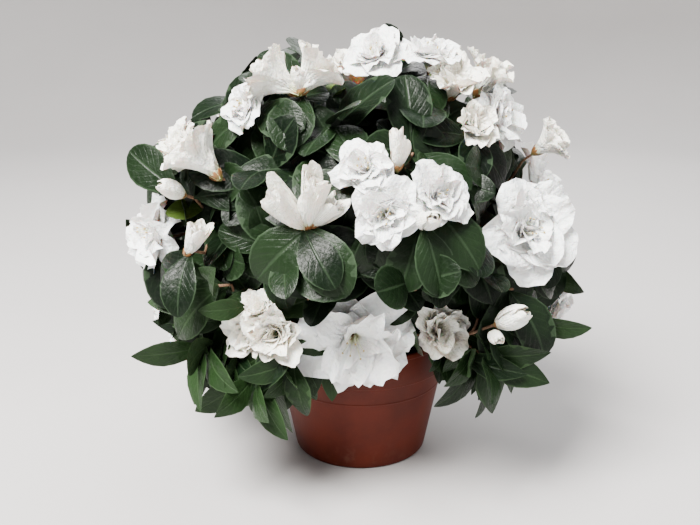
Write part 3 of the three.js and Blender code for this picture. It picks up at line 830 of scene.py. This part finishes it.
# %% Bark: tubes with relief
def tube(path, radii, sides, relief, seed):
    """Rings of points round a path: each radius is scaled by ridges that run along the limb and wander
    round it, and by knots."""
    path = np.asarray(path, float)
    ahead = unit(np.gradient(path, axis=0))
    u = [across(ahead[0])[0]]
    for step in ahead[1:]:
        u.append(unit(u[-1] - step * (u[-1] @ step)))
    u = np.array(u)
    v = np.cross(ahead, u)
    a = turns_of(sides)
    far = np.concatenate([[0], np.cumsum(np.linalg.norm(np.diff(path, axis=0), axis=1))])[:, None]
    ridges = np.sin(5 * a + 1.8 * np.sin(far * 0.21 + seed)) + 0.7 * np.sin(9 * a - 0.35 * far + seed * 2.3)
    knots = np.sin(0.9 * far + seed) * np.sin(2 * a + 0.5 * seed)
    radius = np.asarray(radii)[:, None] * (1 + relief * (0.6 * ridges + 0.7 * knots))
    ring = u[:, None] * np.cos(a)[:, None] + v[:, None] * np.sin(a)[:, None]
    return path[:, None] + radius[..., None] * ring


def tubes(name, limbs, sides, relief, paint, slot, replaced=()):
    """Tubes with flat ends, joined into one piece."""
    points, walls, ends, first = [], [], [], 0
    for i, (path, radii) in enumerate(limbs):
        points.append(tube(path, radii, sides, relief, i * 1.7).reshape(-1, 3))
        walls.append(grid_faces(len(path), sides, 1, True) + first)
        ends += [cap(sides, first, below=True), cap(sides, first + (len(path) - 1) * sides)]
        first += len(path) * sides
    faces = [np.concatenate(walls), np.concatenate(ends)]
    return piece(name, np.concatenate(points), faces, paint, slot, replaced)


def bark(name, deep, light, size):
    """Bark: grey-brown ridges with dark cracks between, and paler flecks."""
    paint = Paint(name, IOR=1.45)
    ridges = paint.noise(size, 5.0, 0.65, (2.2, 2.2, 0.7))
    flecks = paint.noise(size * 0.4, 3.0)
    tint = paint.mix(paint.between(ridges, 0.3, 0.68), deep, light)
    tint = paint.mix(paint.between(flecks, 0.62, 0.8) * 0.4, tint, tuple(min(1.0, c * 1.7) for c in light))
    rough = 0.6 + 0.3 * ridges
    return paint.feed(Base_Color=tint, Roughness=rough, Normal=paint.bump(ridges, 0.7, size * 0.2))


# %% Bark: stem, boughs and twigs
bark_paint = bark("bark", (0.045, 0.03, 0.02), (0.19, 0.135, 0.09), 0.004)
twig_paint = bark("twig_bark", (0.07, 0.035, 0.02), (0.20, 0.11, 0.06), 0.003)
shares = np.linspace(0, 1, 26)
stem_line = np.array([stem_at(stem_foot - 0.8 + (STEM_FORK - stem_foot + 1.2) * t) for t in shares])
heights = [stem_foot - 0.8, stem_foot + 4, stem_foot + 11, STEM_FORK + 0.4]
stem_radii = np.interp(stem_line[:, 2], heights, [STEM_FLARE, 7.0, STEM_RADIUS + 0.5, STEM_RADIUS - 0.4])
stem_radii[-2:] *= (0.9, 0.5)
tubes("stem_bark", [(stem_line, stem_radii)], 36, 0.07, bark_paint, "bark", ["stem"])
limbs = [(m["smooth"], np.linspace(*BOUGH_RADII[m["ring"]], BARK_STEPS + 1)) for m in masses]
tubes("bough_bark", limbs, 14, 0.06, bark_paint, "bark", ["bough_" + m["name"] for m in masses])
for group in GROUPS:
    limbs = [(path, np.linspace(*radii, len(path))) for path, radii, its in twigs if its == group]
    tubes("twigs_" + group, limbs, 7, 0.05, twig_paint, "bark")

# %% [markdown]
# Leaves. An azalea leaf is a blunt oval on a short stalk, folded a little along its midrib and arched
# over its length. Each could be a flat card with a picture; here each is a closed thin shell of a few
# dozen faces in its own outline, bent by its own arch, fold and twist.

# %% Leaves: one shape for all
LEAF_ALONG = np.array([0, 0.07, 0.17, 0.3, 0.44, 0.58, 0.72, 0.84, 0.93, 0.98, 1.0])
LEAF_OVER = np.array([-1, -0.52, 0, 0.52, 1.0])
LEAF_SKIN = 0.45


def shells(points, thickness):
    """An upper and a lower skin: the points, and the points moved down their own normals by a thickness
    that falls to nothing at the edges. A normal is the cross product of the steps along and across."""
    normal = unit(np.cross(np.gradient(points, axis=1), np.gradient(points, axis=2)))
    over = np.linspace(-1, 1, points.shape[2])[None, None, :, None]
    far = np.linspace(0, 1, points.shape[1])[None, :, None, None]
    return points, points - thickness * (1 - np.abs(over) ** 4) * np.minimum(1, 8 * (1 - far)) * normal


def over_grid(forms):
    """The numbers of each leaf or petal, ready to be spread over its grid."""
    return {k: a[:, None, None] for k, a in forms.items() if a.ndim == 1}


def leaf_points(leaf):
    """Points of every leaf: a midline that turns down by its arch over its length. The half width grows
    as a power of a sine up to the widest place and falls to the tip as an ellipse does, or straighter
    where the leaf is sharp; the blade is folded up from the midrib, rolled back at the edge, waved
    along it and twisted evenly."""
    g = over_grid(leaf)
    s = LEAF_ALONG[None, :, None]
    v = LEAF_OVER[None, None, :]
    turn = g["lift"] - g["arch"] * s**1.3
    step = np.diff(LEAF_ALONG, prepend=0)[None, :, None] * g["length"]
    x = np.cumsum(np.cos(turn) * step, 1)
    z = np.cumsum(np.sin(turn) * step, 1)
    base = np.sin(0.5 * np.pi * np.minimum(s / g["widest"], 1)) ** 1.15
    left = np.maximum((s - g["widest"]) / (1 - g["widest"]), 0)
    end = (1 - left ** (2 - 0.5 * g["sharp"])) ** (0.5 + 0.42 * g["sharp"])
    half = np.maximum(0.5 * g["length"] * g["width"] * (base * end), np.where(s < 0.2, 0.8, 0.12))
    out = half * v * np.cos(g["fold"] * np.abs(v))
    rise = half * (np.abs(v) * np.sin(g["fold"]) - 0.42 * v**4 * np.sin(g["fold"] + 0.15))
    rise = rise + g["wave"] * np.sin(9 * s + g["phase"] + 1.5 * v) * v**2 * half
    spin = g["spin"] * s
    out, rise = out * np.cos(spin) - rise * np.sin(spin), out * np.sin(spin) + rise * np.cos(spin)
    side = unit(np.cross(leaf["upper"], leaf["along"]))
    vectors = (leaf["root"], leaf["along"], side, np.cross(leaf["along"], side))
    root, along, side, face = (w[:, None, None] for w in vectors)
    turn, x, z, out, rise = (w[..., None] for w in (turn, x, z, out, rise))
    normal = np.cos(turn) * face - np.sin(turn) * along
    return shells(root + x * along + z * face + out * side + rise * normal, LEAF_SKIN)


def two_skins(name, skins, over, along, paint, replaced=(), values=None):
    """An upper and a lower skin of many leaves or petals as one piece, with its surface from 0 to 1."""
    count, rows, cols, _ = skins[0].shape
    u, w = np.meshgrid(over * 0.5 + 0.5, along)
    uv = np.broadcast_to(np.stack([u, w], -1), (2 * count, rows, cols, 2))
    faces = grid_faces(rows, cols, count)
    faces = [faces[:, ::-1], faces + count * rows * cols]
    return piece(name, skins, faces, paint, "leaves", replaced, uv=uv, values=values)


print("points in a leaf", 2 * len(LEAF_ALONG) * len(LEAF_OVER))


# %% Leaves: finish
def leaf_paint(name, deep, light, rib, gloss):
    """A leaf's finish: two greens in soft patches, a paler midrib and edge, and duller below. The
    relief is a fine crumple with the midrib and the side veins sunk in it."""
    paint = Paint(name, IOR=1.45, Specular_IOR_Level=0.13)
    far = paint.surface("Y")
    off = abs(paint.surface("X") - 0.5) * 2.0
    tone = paint.value("tone")
    under = paint.value("under")
    vein = paint.between(((far - off * 0.35) * 50.0).sine(), 0.55, 1.0)
    vein = vein * paint.between(off, 0.06, 0.2) * (1.0 - paint.between(off, 0.7, 0.95))
    midrib = 1.0 - paint.between(off, 0.02, 0.1)
    edge = paint.between(off, 0.88, 0.98)
    clouds = paint.noise(0.011, 3.0)
    tint = paint.mix(paint.between(0.5 * clouds + 0.8 * tone, 0.3, 1.1), deep, light)
    tint = paint.mix(midrib * 0.28 + vein * 0.05 + edge * 0.45, tint, rib)
    tint = paint.mix(under * 0.6, tint, tuple(0.5 * a + 0.5 * b for a, b in zip(light, rib)))
    spots = paint.between(paint.noise(0.0022, 2.0), 0.5, 0.66)
    rough = gloss + 0.12 * clouds + 0.16 * spots + 0.22 * under
    relief = paint.noise(0.004, 3.0, 0.6) * 1.6 - vein * 0.22 - midrib * 0.8
    return paint.feed(Base_Color=tint, Roughness=rough, Normal=paint.bump(relief, 0.5, 0.0007))


DEEP = ((0.0010, 0.0031, 0.0013), (0.0066, 0.0155, 0.0052), (0.034, 0.057, 0.030), 0.27)
LOW = ((0.0027, 0.0084, 0.0027), (0.0122, 0.0290, 0.0084), (0.044, 0.076, 0.034), 0.31)
YOUNG = ((0.020, 0.042, 0.005), (0.045, 0.078, 0.011), (0.08, 0.12, 0.03), 0.38)
LEAF_PAINTS = {"deep": leaf_paint("leaf_deep", *DEEP), "low": leaf_paint("leaf_low", *LOW)}
LEAF_PAINTS["young"] = leaf_paint("leaf_young", *YOUNG)

# %% [markdown]
# Whorls of leaves. A shoot carries its leaves in a loose rosette at its tip, the youngest upright in
# the middle and the oldest spread flat or hanging. They could be strewn over the crown; placed by the
# golden angle round each shoot's axis they overlap as little as the real ones do.

# %% Leaves: whorls round each shoot
LEAF_COUNT = np.array([9, 7, 6])
LEAF_LENGTH = np.array([44.0, 38.0, 36.0])
BLOOM_LEAVES = 8
SLIM_LEAVES = 4
YOUNG_ABOVE = 196
YOUNG_SHARE = 0.16
ranks = np.array([s["rank"] for s in shoots])
kinds = np.array([s["bloom"]["kind"] if s["bloom"] else "" for s in shoots])
blooming = kinds != ""
low = np.array([s["mass"]["ring"] == "skirt" for s in shoots])
high = np.array([s["tip"][2] > YOUNG_ABOVE for s in shoots])
counts = np.where(kinds == "slim", SLIM_LEAVES, np.where(blooming, BLOOM_LEAVES, LEAF_COUNT[ranks]))
shoot = np.repeat(np.arange(len(shoots)), counts)
order = np.concatenate([np.arange(c) for c in counts]).astype(float)
total = len(shoot)
axis = np.array([s["axis"] for s in shoots])[shoot]
tips = np.array([s["tip"] for s in shoots])[shoot]
share = order / np.maximum(counts[shoot] - 1, 1)
spin = (rng.random(len(shoots)) * 360)[shoot] + order * GOLDEN + 20 * (rng.random(total) - 0.5)
spin = np.radians(spin)[:, None]
spread = np.where(blooming[shoot], 64 + 36 * share, 38 + 56 * share) + 14 * (rng.random(total) - 0.5)
spread = np.radians(spread)[:, None]
u, w = across(axis)
flat_way = u * np.cos(spin) + w * np.sin(spin)
droop = np.where(low, 0.75, 0.3)[shoot][:, None] * (0.5 + 0.9 * share[:, None])
light = np.where(tips[:, 1:2] < 30, [0.0, -0.45, 0.2], [0.0, 0.0, 0.3])
size = LEAF_LENGTH[ranks][shoot]
size = size * (0.72 + 0.38 * np.sin(np.pi * (0.2 + 0.6 * share))) * (0.88 + 0.24 * rng.random(total))
young_shoot = (rng.random(len(shoots)) < YOUNG_SHARE) & ~blooming & high
young = young_shoot[shoot] & (share < 0.35)
print("leaves grown", total, "young", int(young.sum()))

# %% Leaves: each one's own form
leaves = {
    "root": tips - axis * (0.8 + 1.5 * order)[:, None],
    "along": unit(flat_way * np.sin(spread) + axis * np.cos(spread) - UP * droop),
    "upper": unit(axis + light),
    "length": size * np.where(young, 0.66, 1),
    "width": np.where(low[shoot], 0.45, 0.58) + 0.16 * (rng.random(total) - 0.4),
    "arch": 0.35 + 0.75 * rng.random(total),
    "lift": 0.12 + 0.25 * rng.random(total),
    "fold": 0.12 + 0.3 * rng.random(total),
    "spin": 0.9 * (rng.random(total) - 0.5),
    "wave": 0.10 * rng.random(total),
    "phase": 6.3 * rng.random(total),
    "widest": np.where(low[shoot], 0.5, 0.6) + 0.08 * (rng.random(total) - 0.5),
    "sharp": np.where(low[shoot], 0.75, 0.1) + 0.3 * rng.random(total) ** 2,
    "tone": rng.random(len(shoots))[shoot] * 0.7 + 0.3 * rng.random(total),
}
skins = np.array(leaf_points(leaves))
print("mean leaf length", round(float(leaves["length"].mean()), 1))

# %% [markdown]
# Some of these leaves would stand in the pot's wall, in a bloom or in front of one, or hang below the
# crown. They could be pushed aside one by one; leaving them out is what a growing bud does, which
# makes room where there is light.

# %% Leaves: which are kept
VIEWER = np.array([0.0, -612.7, 320.4])
BOX_ROOM = 9
probe = skins[0, :, 3:].reshape(total, -1, 3)
height = probe[..., 2]
in_pot = (height < POT_HEIGHT + 2) & (np.hypot(probe[..., 0], probe[..., 1]) < RIM_RADIUS + 1.5)
free = ~in_pot.any(1) & (height > 3).all(1)
for bloom in blooms:
    # Neither in the bloom or over it, nor in its foot, nor between it and the viewer whom it faces.
    middle, size, facing = bloom["middle"], bloom["size"], bloom["axis"]
    rise, away = along_and_off(probe, middle, facing)
    wide = 0.46 if bloom["kind"] in OPEN_KINDS else 0.36
    free &= ~((rise > -0.12 * size) & (rise < 1.4 * size) & (away < wide * size)).any(1)
    free &= ~((rise > -0.6 * size) & (rise < 0) & (away < 0.16 * size)).any(1)
    ahead = unit(VIEWER - middle)
    in_front, beside = along_and_off(probe, middle, ahead)
    hides = (in_front > 0.1 * size) & (beside < 0.36 * size)
    free &= ~(hides & (facing @ ahead > 0.2)).any(1)
free &= ~(over_open_side(probe) & (height < OPEN_BELOW - 20)).any(1) & over_underside(probe).all(1)
low_box = np.array(cad_low) / MM - BOX_ROOM
high_box = np.array(cad_high) / MM + BOX_ROOM
free &= ((probe > low_box) & (probe < high_box)).all((1, 2))
print("leaves", int(free.sum()), "of", total)

# %% Leaves: pieces by group and tint
group_of = np.array([s["mass"]["group"] for s in shoots])[shoot]
tint_of = np.where(young, "young", np.where(low[shoot], "low", "deep"))
for group in GROUPS:
    for tint in LEAF_PAINTS:
        chosen = free & (group_of == group) & (tint_of == tint)
        if not chosen.any():
            continue
        solids = sorted("mass_" + m["name"] for m in masses if m["group"] == group and tint != "young")
        points = len(LEAF_ALONG) * len(LEAF_OVER)
        tone = np.repeat(np.tile(leaves["tone"][chosen], 2), points)
        values = {"tone": tone, "under": np.repeat([0.0, 1.0], int(chosen.sum()) * points)}
        name = f"leaves_{group}_{tint}"
        two_skins(name, skins[:, chosen], LEAF_OVER, LEAF_ALONG, LEAF_PAINTS[tint], solids, values)

# %% [markdown]
# Blossom. A double azalea flower is a short funnel of broad petals in several whorls; the outer ones
# lie open, the inner ones stand crumpled round a green-yellow throat. Each could be a sculpted mesh;
# here each petal is one grid: its midline leans out from the flower's axis more and more, and its
# width is wrapped round the axis.

# %% Blossom: one shape for all petals
PETAL_ALONG = np.array([0, 0.2, 0.4, 0.58, 0.74, 0.87, 0.95, 1.0])
PETAL_OVER = np.linspace(-1, 1, 12)
PETAL_SKIN = 0.3
LINE_STEPS = 24


def petal_points(p):
    """Points of every petal. The lean from the axis goes from its first to its last value along the
    petal, and a midline in small steps adds it up. The half width grows to its full size by two thirds
    of the way; the far edge is rounded, and notched by two waves as deep as its frill. Ruffles that grow
    towards the edge push it to and fro, a pleat runs along it, and a dish makes the middle hollow."""
    s = PETAL_ALONG[None, :, None]
    v = PETAL_OVER[None, None, :]
    g = over_grid(p)
    notches = g["frill"] * (0.022 * np.sin(4.5 * v + g["phase"]) + 0.018 * np.sin(11 * v + 2 * g["phase"]))
    far = s * (1 - g["round"] * np.abs(v) ** 2.3 + notches)
    lean = g["lean0"] + (g["lean1"] - g["lean0"]) * far ** g["late"]
    fine = np.linspace(0, 1.15, LINE_STEPS)
    lean_fine = p["lean0"][:, None] + (p["lean1"] - p["lean0"])[:, None] * fine ** p["late"][:, None]
    step = fine[1] * p["length"][:, None]
    out_fine = np.cumsum(np.sin(lean_fine) * step, 1) - np.sin(lean_fine[:, :1]) * step
    up_fine = np.cumsum(np.cos(lean_fine) * step, 1) - np.cos(lean_fine[:, :1]) * step
    where = far / fine[1]
    k = np.clip(where.astype(int), 0, LINE_STEPS - 2)
    part = where - k
    rows = np.arange(len(p["length"]))[:, None, None]
    r = out_fine[rows, k] * (1 - part) + out_fine[rows, k + 1] * part + g["start"]
    z = up_fine[rows, k] * (1 - part) + up_fine[rows, k + 1] * part
    grown = np.clip(s / 0.66, 0, 1)
    half = g["width"] * (0.16 + 0.84 * grown * grown * (3 - 2 * grown)) * (1 - 0.16 * s**6)
    bend = np.maximum(r, 0.16 * g["length"]) * g["flat"]
    sweep = half * v / bend
    wave = np.sin(g["waves"] * v + g["phase"]) + 0.5 * np.sin(2.6 * g["waves"] * v - 2 * g["phase"])
    pleat = 0.35 * g["ruffle"] * far * np.sin(3.4 * v + 2 * g["phase"])
    push = g["ruffle"] * far**3 * wave * (0.35 + 0.65 * np.abs(v)) + pleat + g["dish"] * far * (1 - v * v)
    r = r - bend * (1 - np.cos(sweep)) + push * np.cos(lean)
    z = z - push * np.sin(lean)
    e1, e2 = across(p["axis"])
    radial = e1 * np.cos(p["turn"])[:, None] + e2 * np.sin(p["turn"])[:, None]
    tangent = np.cross(p["axis"], radial)[:, None, None]
    spot = p["foot"][:, None, None] + r[..., None] * radial[:, None, None]
    spot = spot + (bend * np.sin(sweep))[..., None] * tangent
    return shells(spot + z[..., None] * p["axis"][:, None, None], PETAL_SKIN)


print("points in a petal", 2 * len(PETAL_ALONG) * len(PETAL_OVER))

# %% Blossom: whorls of each kind
# For each whorl: how far up it starts, its petals' number, length, half width, first and last lean in
# radians, and its form; lengths are shares of the bloom's width.
FORM = dict(uneven=0.5, tilt=0.14, ragged=0.22, free=0.4, late=0.9, start=0.8)
FORM.update(flat=1.3, round=0.3, ruffle=0.1, waves=4.5, frill=1.0, dish=0.06)
SLIM = dict(ruffle=0.05, round=0.28, free=0.2, dish=0.05, frill=0.3, tilt=0.2)
BUD = dict(ruffle=0.03, round=0.36, free=0.3, dish=0.05, frill=0.4, late=1.1)
BUD.update(flat=0.95, start=0.4, uneven=0.9)
SCALES = dict(ruffle=0.01, round=0.75, start=0.3, flat=1.0, dish=0.0)
WHORLS = {
    "open": [
        (0.00, 5, 0.62, 0.34, 0.30, 1.70, dict(ruffle=0.15, late=0.85)),
        (0.02, 5, 0.55, 0.31, 0.24, 1.30, dict(ruffle=0.18)),
        (0.04, 6, 0.45, 0.24, 0.20, 0.95, dict(ruffle=0.22, tilt=0.5, ragged=0.5, uneven=1.2, free=0.8)),
        (0.05, 5, 0.34, 0.17, 0.10, 0.60, dict(ruffle=0.24, tilt=0.7, ragged=0.6, uneven=1.5, free=0.8)),
    ],
    "wide": [
        (0.00, 5, 0.61, 0.34, 0.32, 1.85,
         dict(ruffle=0.19, late=0.75, round=0.13, waves=5.0, ragged=0.24, frill=1.7)),
        (0.02, 4, 0.53, 0.29, 0.24, 1.35,
         dict(ruffle=0.22, late=0.8, uneven=1.0, ragged=0.4, waves=5.4, round=0.16, frill=1.7)),
        (0.04, 3, 0.36, 0.13, 0.14, 0.70, dict(ruffle=0.2, tilt=0.5, ragged=0.6, uneven=1.5)),
    ],
    "half": [
        (0.00, 5, 0.96, 0.36, 0.26, 1.00, dict(ruffle=0.11, flat=1.1, round=0.16, late=1.4, waves=5.0)),
        (0.03, 5, 0.88, 0.31, 0.20, 0.66, dict(ruffle=0.13, flat=1.0, round=0.18, late=1.3, waves=5.0)),
        (0.06, 5, 0.74, 0.24, 0.14, 0.40, dict(ruffle=0.15, flat=1.0, round=0.2, tilt=0.3, ragged=0.4)),
    ],
    "slim": [
        (0.00, 4, 1.30, 0.31, 0.36, 0.06, dict(SLIM, free=0.4, ragged=0.3, uneven=1.0)),
        (0.03, 4, 1.24, 0.28, 0.26, 0.00, dict(SLIM, flat=0.9)),
        (0.05, 4, 1.12, 0.20, 0.14, -0.04, dict(SLIM, flat=0.8)),
    ],
    "bud": [
        (0.0, 4, 1.22, 0.42, 0.80, -0.62, BUD),
        (0.04, 4, 1.20, 0.34, 0.60, -0.50, BUD),
        (0.06, 3, 1.10, 0.22, 0.40, -0.30, BUD),
    ],
}
print("petals of each kind", {kind: sum(w[1] for w in whorls) for kind, whorls in WHORLS.items()})


# %% Blossom: petals of each bloom
def whorl(foot, axis, count, length, width, lean0, lean1, more):
    """Petals at about equal turns round an axis, each a little longer or wider and leaning a little
    more or less."""
    form = {**FORM, **more}

    def vary(spread):
        return 1 + spread * (rng.random(count) - 0.5)

    return {
        "foot": np.tile(foot, (count, 1)),
        "axis": unit(axis + form["tilt"] * (rng.random((count, 3)) - 0.5)),
        "turn": rng.random() * 6.3 + turns_of(count) + form["uneven"] * (rng.random(count) - 0.5),
        "length": length * vary(form["ragged"]),
        "width": width * vary(0.3),
        "lean0": lean0 * vary(0.2),
        "lean1": lean1 + form["free"] * (rng.random(count) - 0.5),
        "late": np.full(count, form["late"]),
        "start": np.full(count, form["start"]),
        "flat": form["flat"] * vary(0.3),
        "round": form["round"] * vary(0.3),
        "ruffle": form["ruffle"] * length * vary(0.8),
        "waves": form["waves"] * vary(0.4),
        "phase": rng.random(count) * 6.3,
        "frill": np.full(count, form["frill"]),
        "dish": form["dish"] * length * vary(1.0),
    }


SCALE_COUNT = 6
open_petals, closed_petals, scales = [], [], []
for bloom in blooms:
    size, kind, facing = bloom["size"], bloom["kind"], bloom["axis"]
    foot = bloom["middle"] - facing * (DEPTH[kind] * size)
    for up, count, length, width, *leans, more in WHORLS[kind]:
        made = whorl(foot + up * size * facing, facing, count, length * size, width * size, *leans, more)
        (open_petals if kind in OPEN_KINDS else closed_petals).append(made)
    collar = 6 + 0.06 * size
    scales.append(whorl(foot - 1.0 * facing, facing, SCALE_COUNT, collar, 0.3 * collar, 0.9, 0.1, SCALES))
print("whorls", len(open_petals), "open", len(closed_petals), "closed")

# %% [markdown]
# The petals' finish. Real petals let light through, glow cream at the folds and are crumpled in fine
# creases with faint veins along them. They could be plain white; a little scattering under the skin,
# a tinted throat, soft patches of painted shade and a relief of two noises and the veins give them
# their softness.


# %% Blossom: finishes and pieces
def petal_paint(name, white, throat, shade, reach):
    """A petal's finish: soft white with a satin glow, a tinted claw, faint veins and soft patches of
    painted shade, duller where they lie.
    """
    paint = Paint(name, IOR=1.4, Subsurface_Weight=0.15, Subsurface_Scale=0.003)
    far = paint.surface("Y")
    clouds = paint.noise(0.012, 3.0)
    # Soft patches of painted shade: the tint turns towards the shade colour where the noise is high.
    tint = paint.mix(paint.between(clouds, 0.35, 0.65) * 0.6, white, shade)
    tint = paint.mix(1.0 - paint.between(far, 0.08, reach), tint, throat)
    veins = (paint.surface("X") * 70.0).sine() * 0.5 + 0.5
    crumple = paint.noise(0.004, 4.0, 0.6)
    relief = crumple * 1.2 + paint.noise(0.011, 2.0) * 1.6 + veins * (1.1 - far) * 0.25
    rough = 0.45 + 0.2 * clouds
    return paint.feed(Base_Color=tint, Roughness=rough, Normal=paint.bump(relief, 0.8, 0.0024))


def scale_paint():
    """Bud scales: brown-green at the foot, russet at the tip."""
    paint = Paint("bud_scale", IOR=1.45)
    patches = paint.noise(0.003, 3.0)
    share = paint.between(paint.surface("Y") + 0.4 * patches, 0.3, 1.0)
    tint = paint.mix(share, (0.12, 0.13, 0.035), (0.21, 0.09, 0.03))
    rough = 0.4 + 0.3 * patches
    return paint.feed(Base_Color=tint, Roughness=rough, Normal=paint.bump(patches, 0.3, 0.0005))


def petal_piece(name, parts, paint):
    """All petals of one kind as one piece."""
    petals = {k: np.concatenate([p[k] for p in parts]) for k in parts[0]}
    return two_skins(name, petal_points(petals), PETAL_OVER, PETAL_ALONG, paint)


white = petal_paint("petal_open", (0.92, 0.915, 0.90), (0.70, 0.74, 0.40), (0.86, 0.845, 0.835), 0.36)
cream = petal_paint("petal_half", (0.90, 0.875, 0.80), (0.64, 0.63, 0.33), (0.82, 0.755, 0.655), 0.34)
petal_piece("petals_open", open_petals, white)
petal_piece("petals_closed", closed_petals, cream)
petal_piece("bud_scales", scales, scale_paint())

# %% [markdown]
# Stamens. An open azalea shows a few thin filaments in its throat, each with a small brown pod. They
# could be painted on; as thin tubes they catch the light and stand free of the petals.


# %% Blossom: stamens
def stamen_paint(name, deep, light):
    """Stamens: a soft grain from a deeper to a lighter tint."""
    paint = Paint(name, IOR=1.4)
    grain = paint.noise(0.0012, 2.0)
    tint = paint.mix(paint.between(grain, 0.35, 0.65), deep, light)
    return paint.feed(Base_Color=tint, Roughness=0.5 + 0.2 * grain, Normal=paint.bump(grain, 0.2, 0.0002))


STAMENS = 6
THREAD_STEPS = 6
filaments, anthers = [], []
for bloom in blooms:
    if bloom["kind"] not in OPEN_KINDS:
        continue
    size, facing = bloom["size"], bloom["axis"]
    foot = bloom["middle"] - facing * (DEPTH["open"] * size - 1)
    u, w = across(facing)
    for k in range(STAMENS):
        turn = 2 * np.pi * (k + 0.6 * rng.random()) / STAMENS
        out = u * np.cos(turn) + w * np.sin(turn)
        long = size * (0.28 + 0.08 * rng.random())
        end = foot + facing * long + out * size * (0.05 + 0.07 * rng.random())
        bend = foot + 0.6 * long * facing + 0.04 * size * out
        line = bent(foot + 0.5 * out, bend, end, THREAD_STEPS)
        filaments.append((line, np.linspace(0.35, 0.22, THREAD_STEPS + 1)))
        pod = np.array([end + facing * s for s in (-0.2, 0.3, 1.0, 1.6)])
        anthers.append((pod, [0.3, 0.62, 0.6, 0.2]))
thread_paint = stamen_paint("filament", (0.62, 0.66, 0.40), (0.80, 0.82, 0.62))
tubes("filaments", filaments, 5, 0.0, thread_paint, "leaves")
pod_paint = stamen_paint("anther", (0.30, 0.20, 0.07), (0.52, 0.40, 0.16))
tubes("anthers", anthers, 6, 0.0, pod_paint, "leaves")

# %% [markdown]
# The stage: a plain pale floor that sweeps up round the plant, and broad soft lights, one strong from
# the front left, a weak one from the right and one from behind that parts the crown from the ground.
# A flat plane would show its edge; a shallow bowl turned on a grid has none.


# %% Stage: floor
def floor_paint():
    """Pale floor: an even light grey with the faintest mottling."""
    paint = Paint("floor", IOR=1.45)
    clouds = paint.noise(0.25, 3.0)
    tint = paint.mix(clouds, (0.41, 0.398, 0.396), (0.445, 0.432, 0.43))
    return paint.feed(Base_Color=tint, Roughness=0.6 + 0.1 * clouds)


BOWL_SIDES = 96
climb = np.linspace(0, 0.5 * np.pi, 16)
bowl_radius = np.concatenate([[0.02, 0.5, 1.2], 1.6 + 1.2 * np.sin(climb), [2.8]])[:, None]
bowl_height = np.concatenate([[0, 0, 0], 1.2 * (1 - np.cos(climb)), [2.2]])[:, None]
bowl = polar(bowl_radius, turns_of(BOWL_SIDES), bowl_height).reshape(-1, 3)
bowl_faces = [cap(BOWL_SIDES), grid_faces(len(bowl_radius), BOWL_SIDES, 1, True)[:, ::-1]]
floor = put("floor", mesh_of("floor", bowl, bowl_faces, floor_paint()))
floor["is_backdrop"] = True
print("floor faces", len(floor.data.polygons))


# %% Stage: lights
def aimed(name, data, spot, aim):
    """A light or a camera at a spot that looks at an aim."""
    thing = put(name, data)
    thing.location = spot
    thing.rotation_mode = "QUATERNION"
    thing.rotation_quaternion = (Vector(aim) - Vector(spot)).to_track_quat("-Z", "Y")
    print(name, "at", [round(v, 3) for v in thing.location])
    return thing


def lamp(name, spot, aim, size, power, tint=(1.0, 1.0, 1.0)):
    """A square soft light at a spot, facing an aim."""
    light = bpy.data.lights.new(name, "AREA")
    light.shape = "SQUARE"
    light.size = size
    light.energy = power
    light.color = tint
    aimed(name, light, spot, aim)


lamp("key_light", (-0.6, -0.85, 1.55), (0, 0, 0.17), 0.8, 212, (1.0, 0.975, 0.94))
lamp("fill_light", (1.3, -1.0, 1.0), (0, 0, 0.2), 1.6, 10)
lamp("back_light", (0.3, 1.2, 1.4), (0, 0, 0.2), 1.5, 42)
world = bpy.data.worlds.new("studio")
world.use_nodes = True
world.node_tree.nodes["Background"].inputs["Color"].default_value = (0.96, 0.98, 1.0, 1.0)
world.node_tree.nodes["Background"].inputs["Strength"].default_value = 0.27
bpy.context.scene.world = world

# %% [markdown]
# The camera stands where the photograph was taken from, a little above the crown and looking down on
# the pot. It could keep the photograph's aim; turned to the plant alone, it puts it in mid frame.

# %% Stage: camera
lens = bpy.data.cameras.new("camera")
lens.sensor_width = 36.0
lens.lens = 45.0
lens.clip_start = 0.02
bpy.context.scene.camera = aimed("camera", lens, VIEWER * MM, (-0.008, 0.0, 0.141))

# %% [markdown]
# The last step keeps both boxes, that of the solids and that of the dressed plant, so that the two
# can be set against each other.

# %% Sizes and finish
low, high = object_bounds()
print("visual box", [round(v, 4) for v in low], [round(v, 4) for v in high])
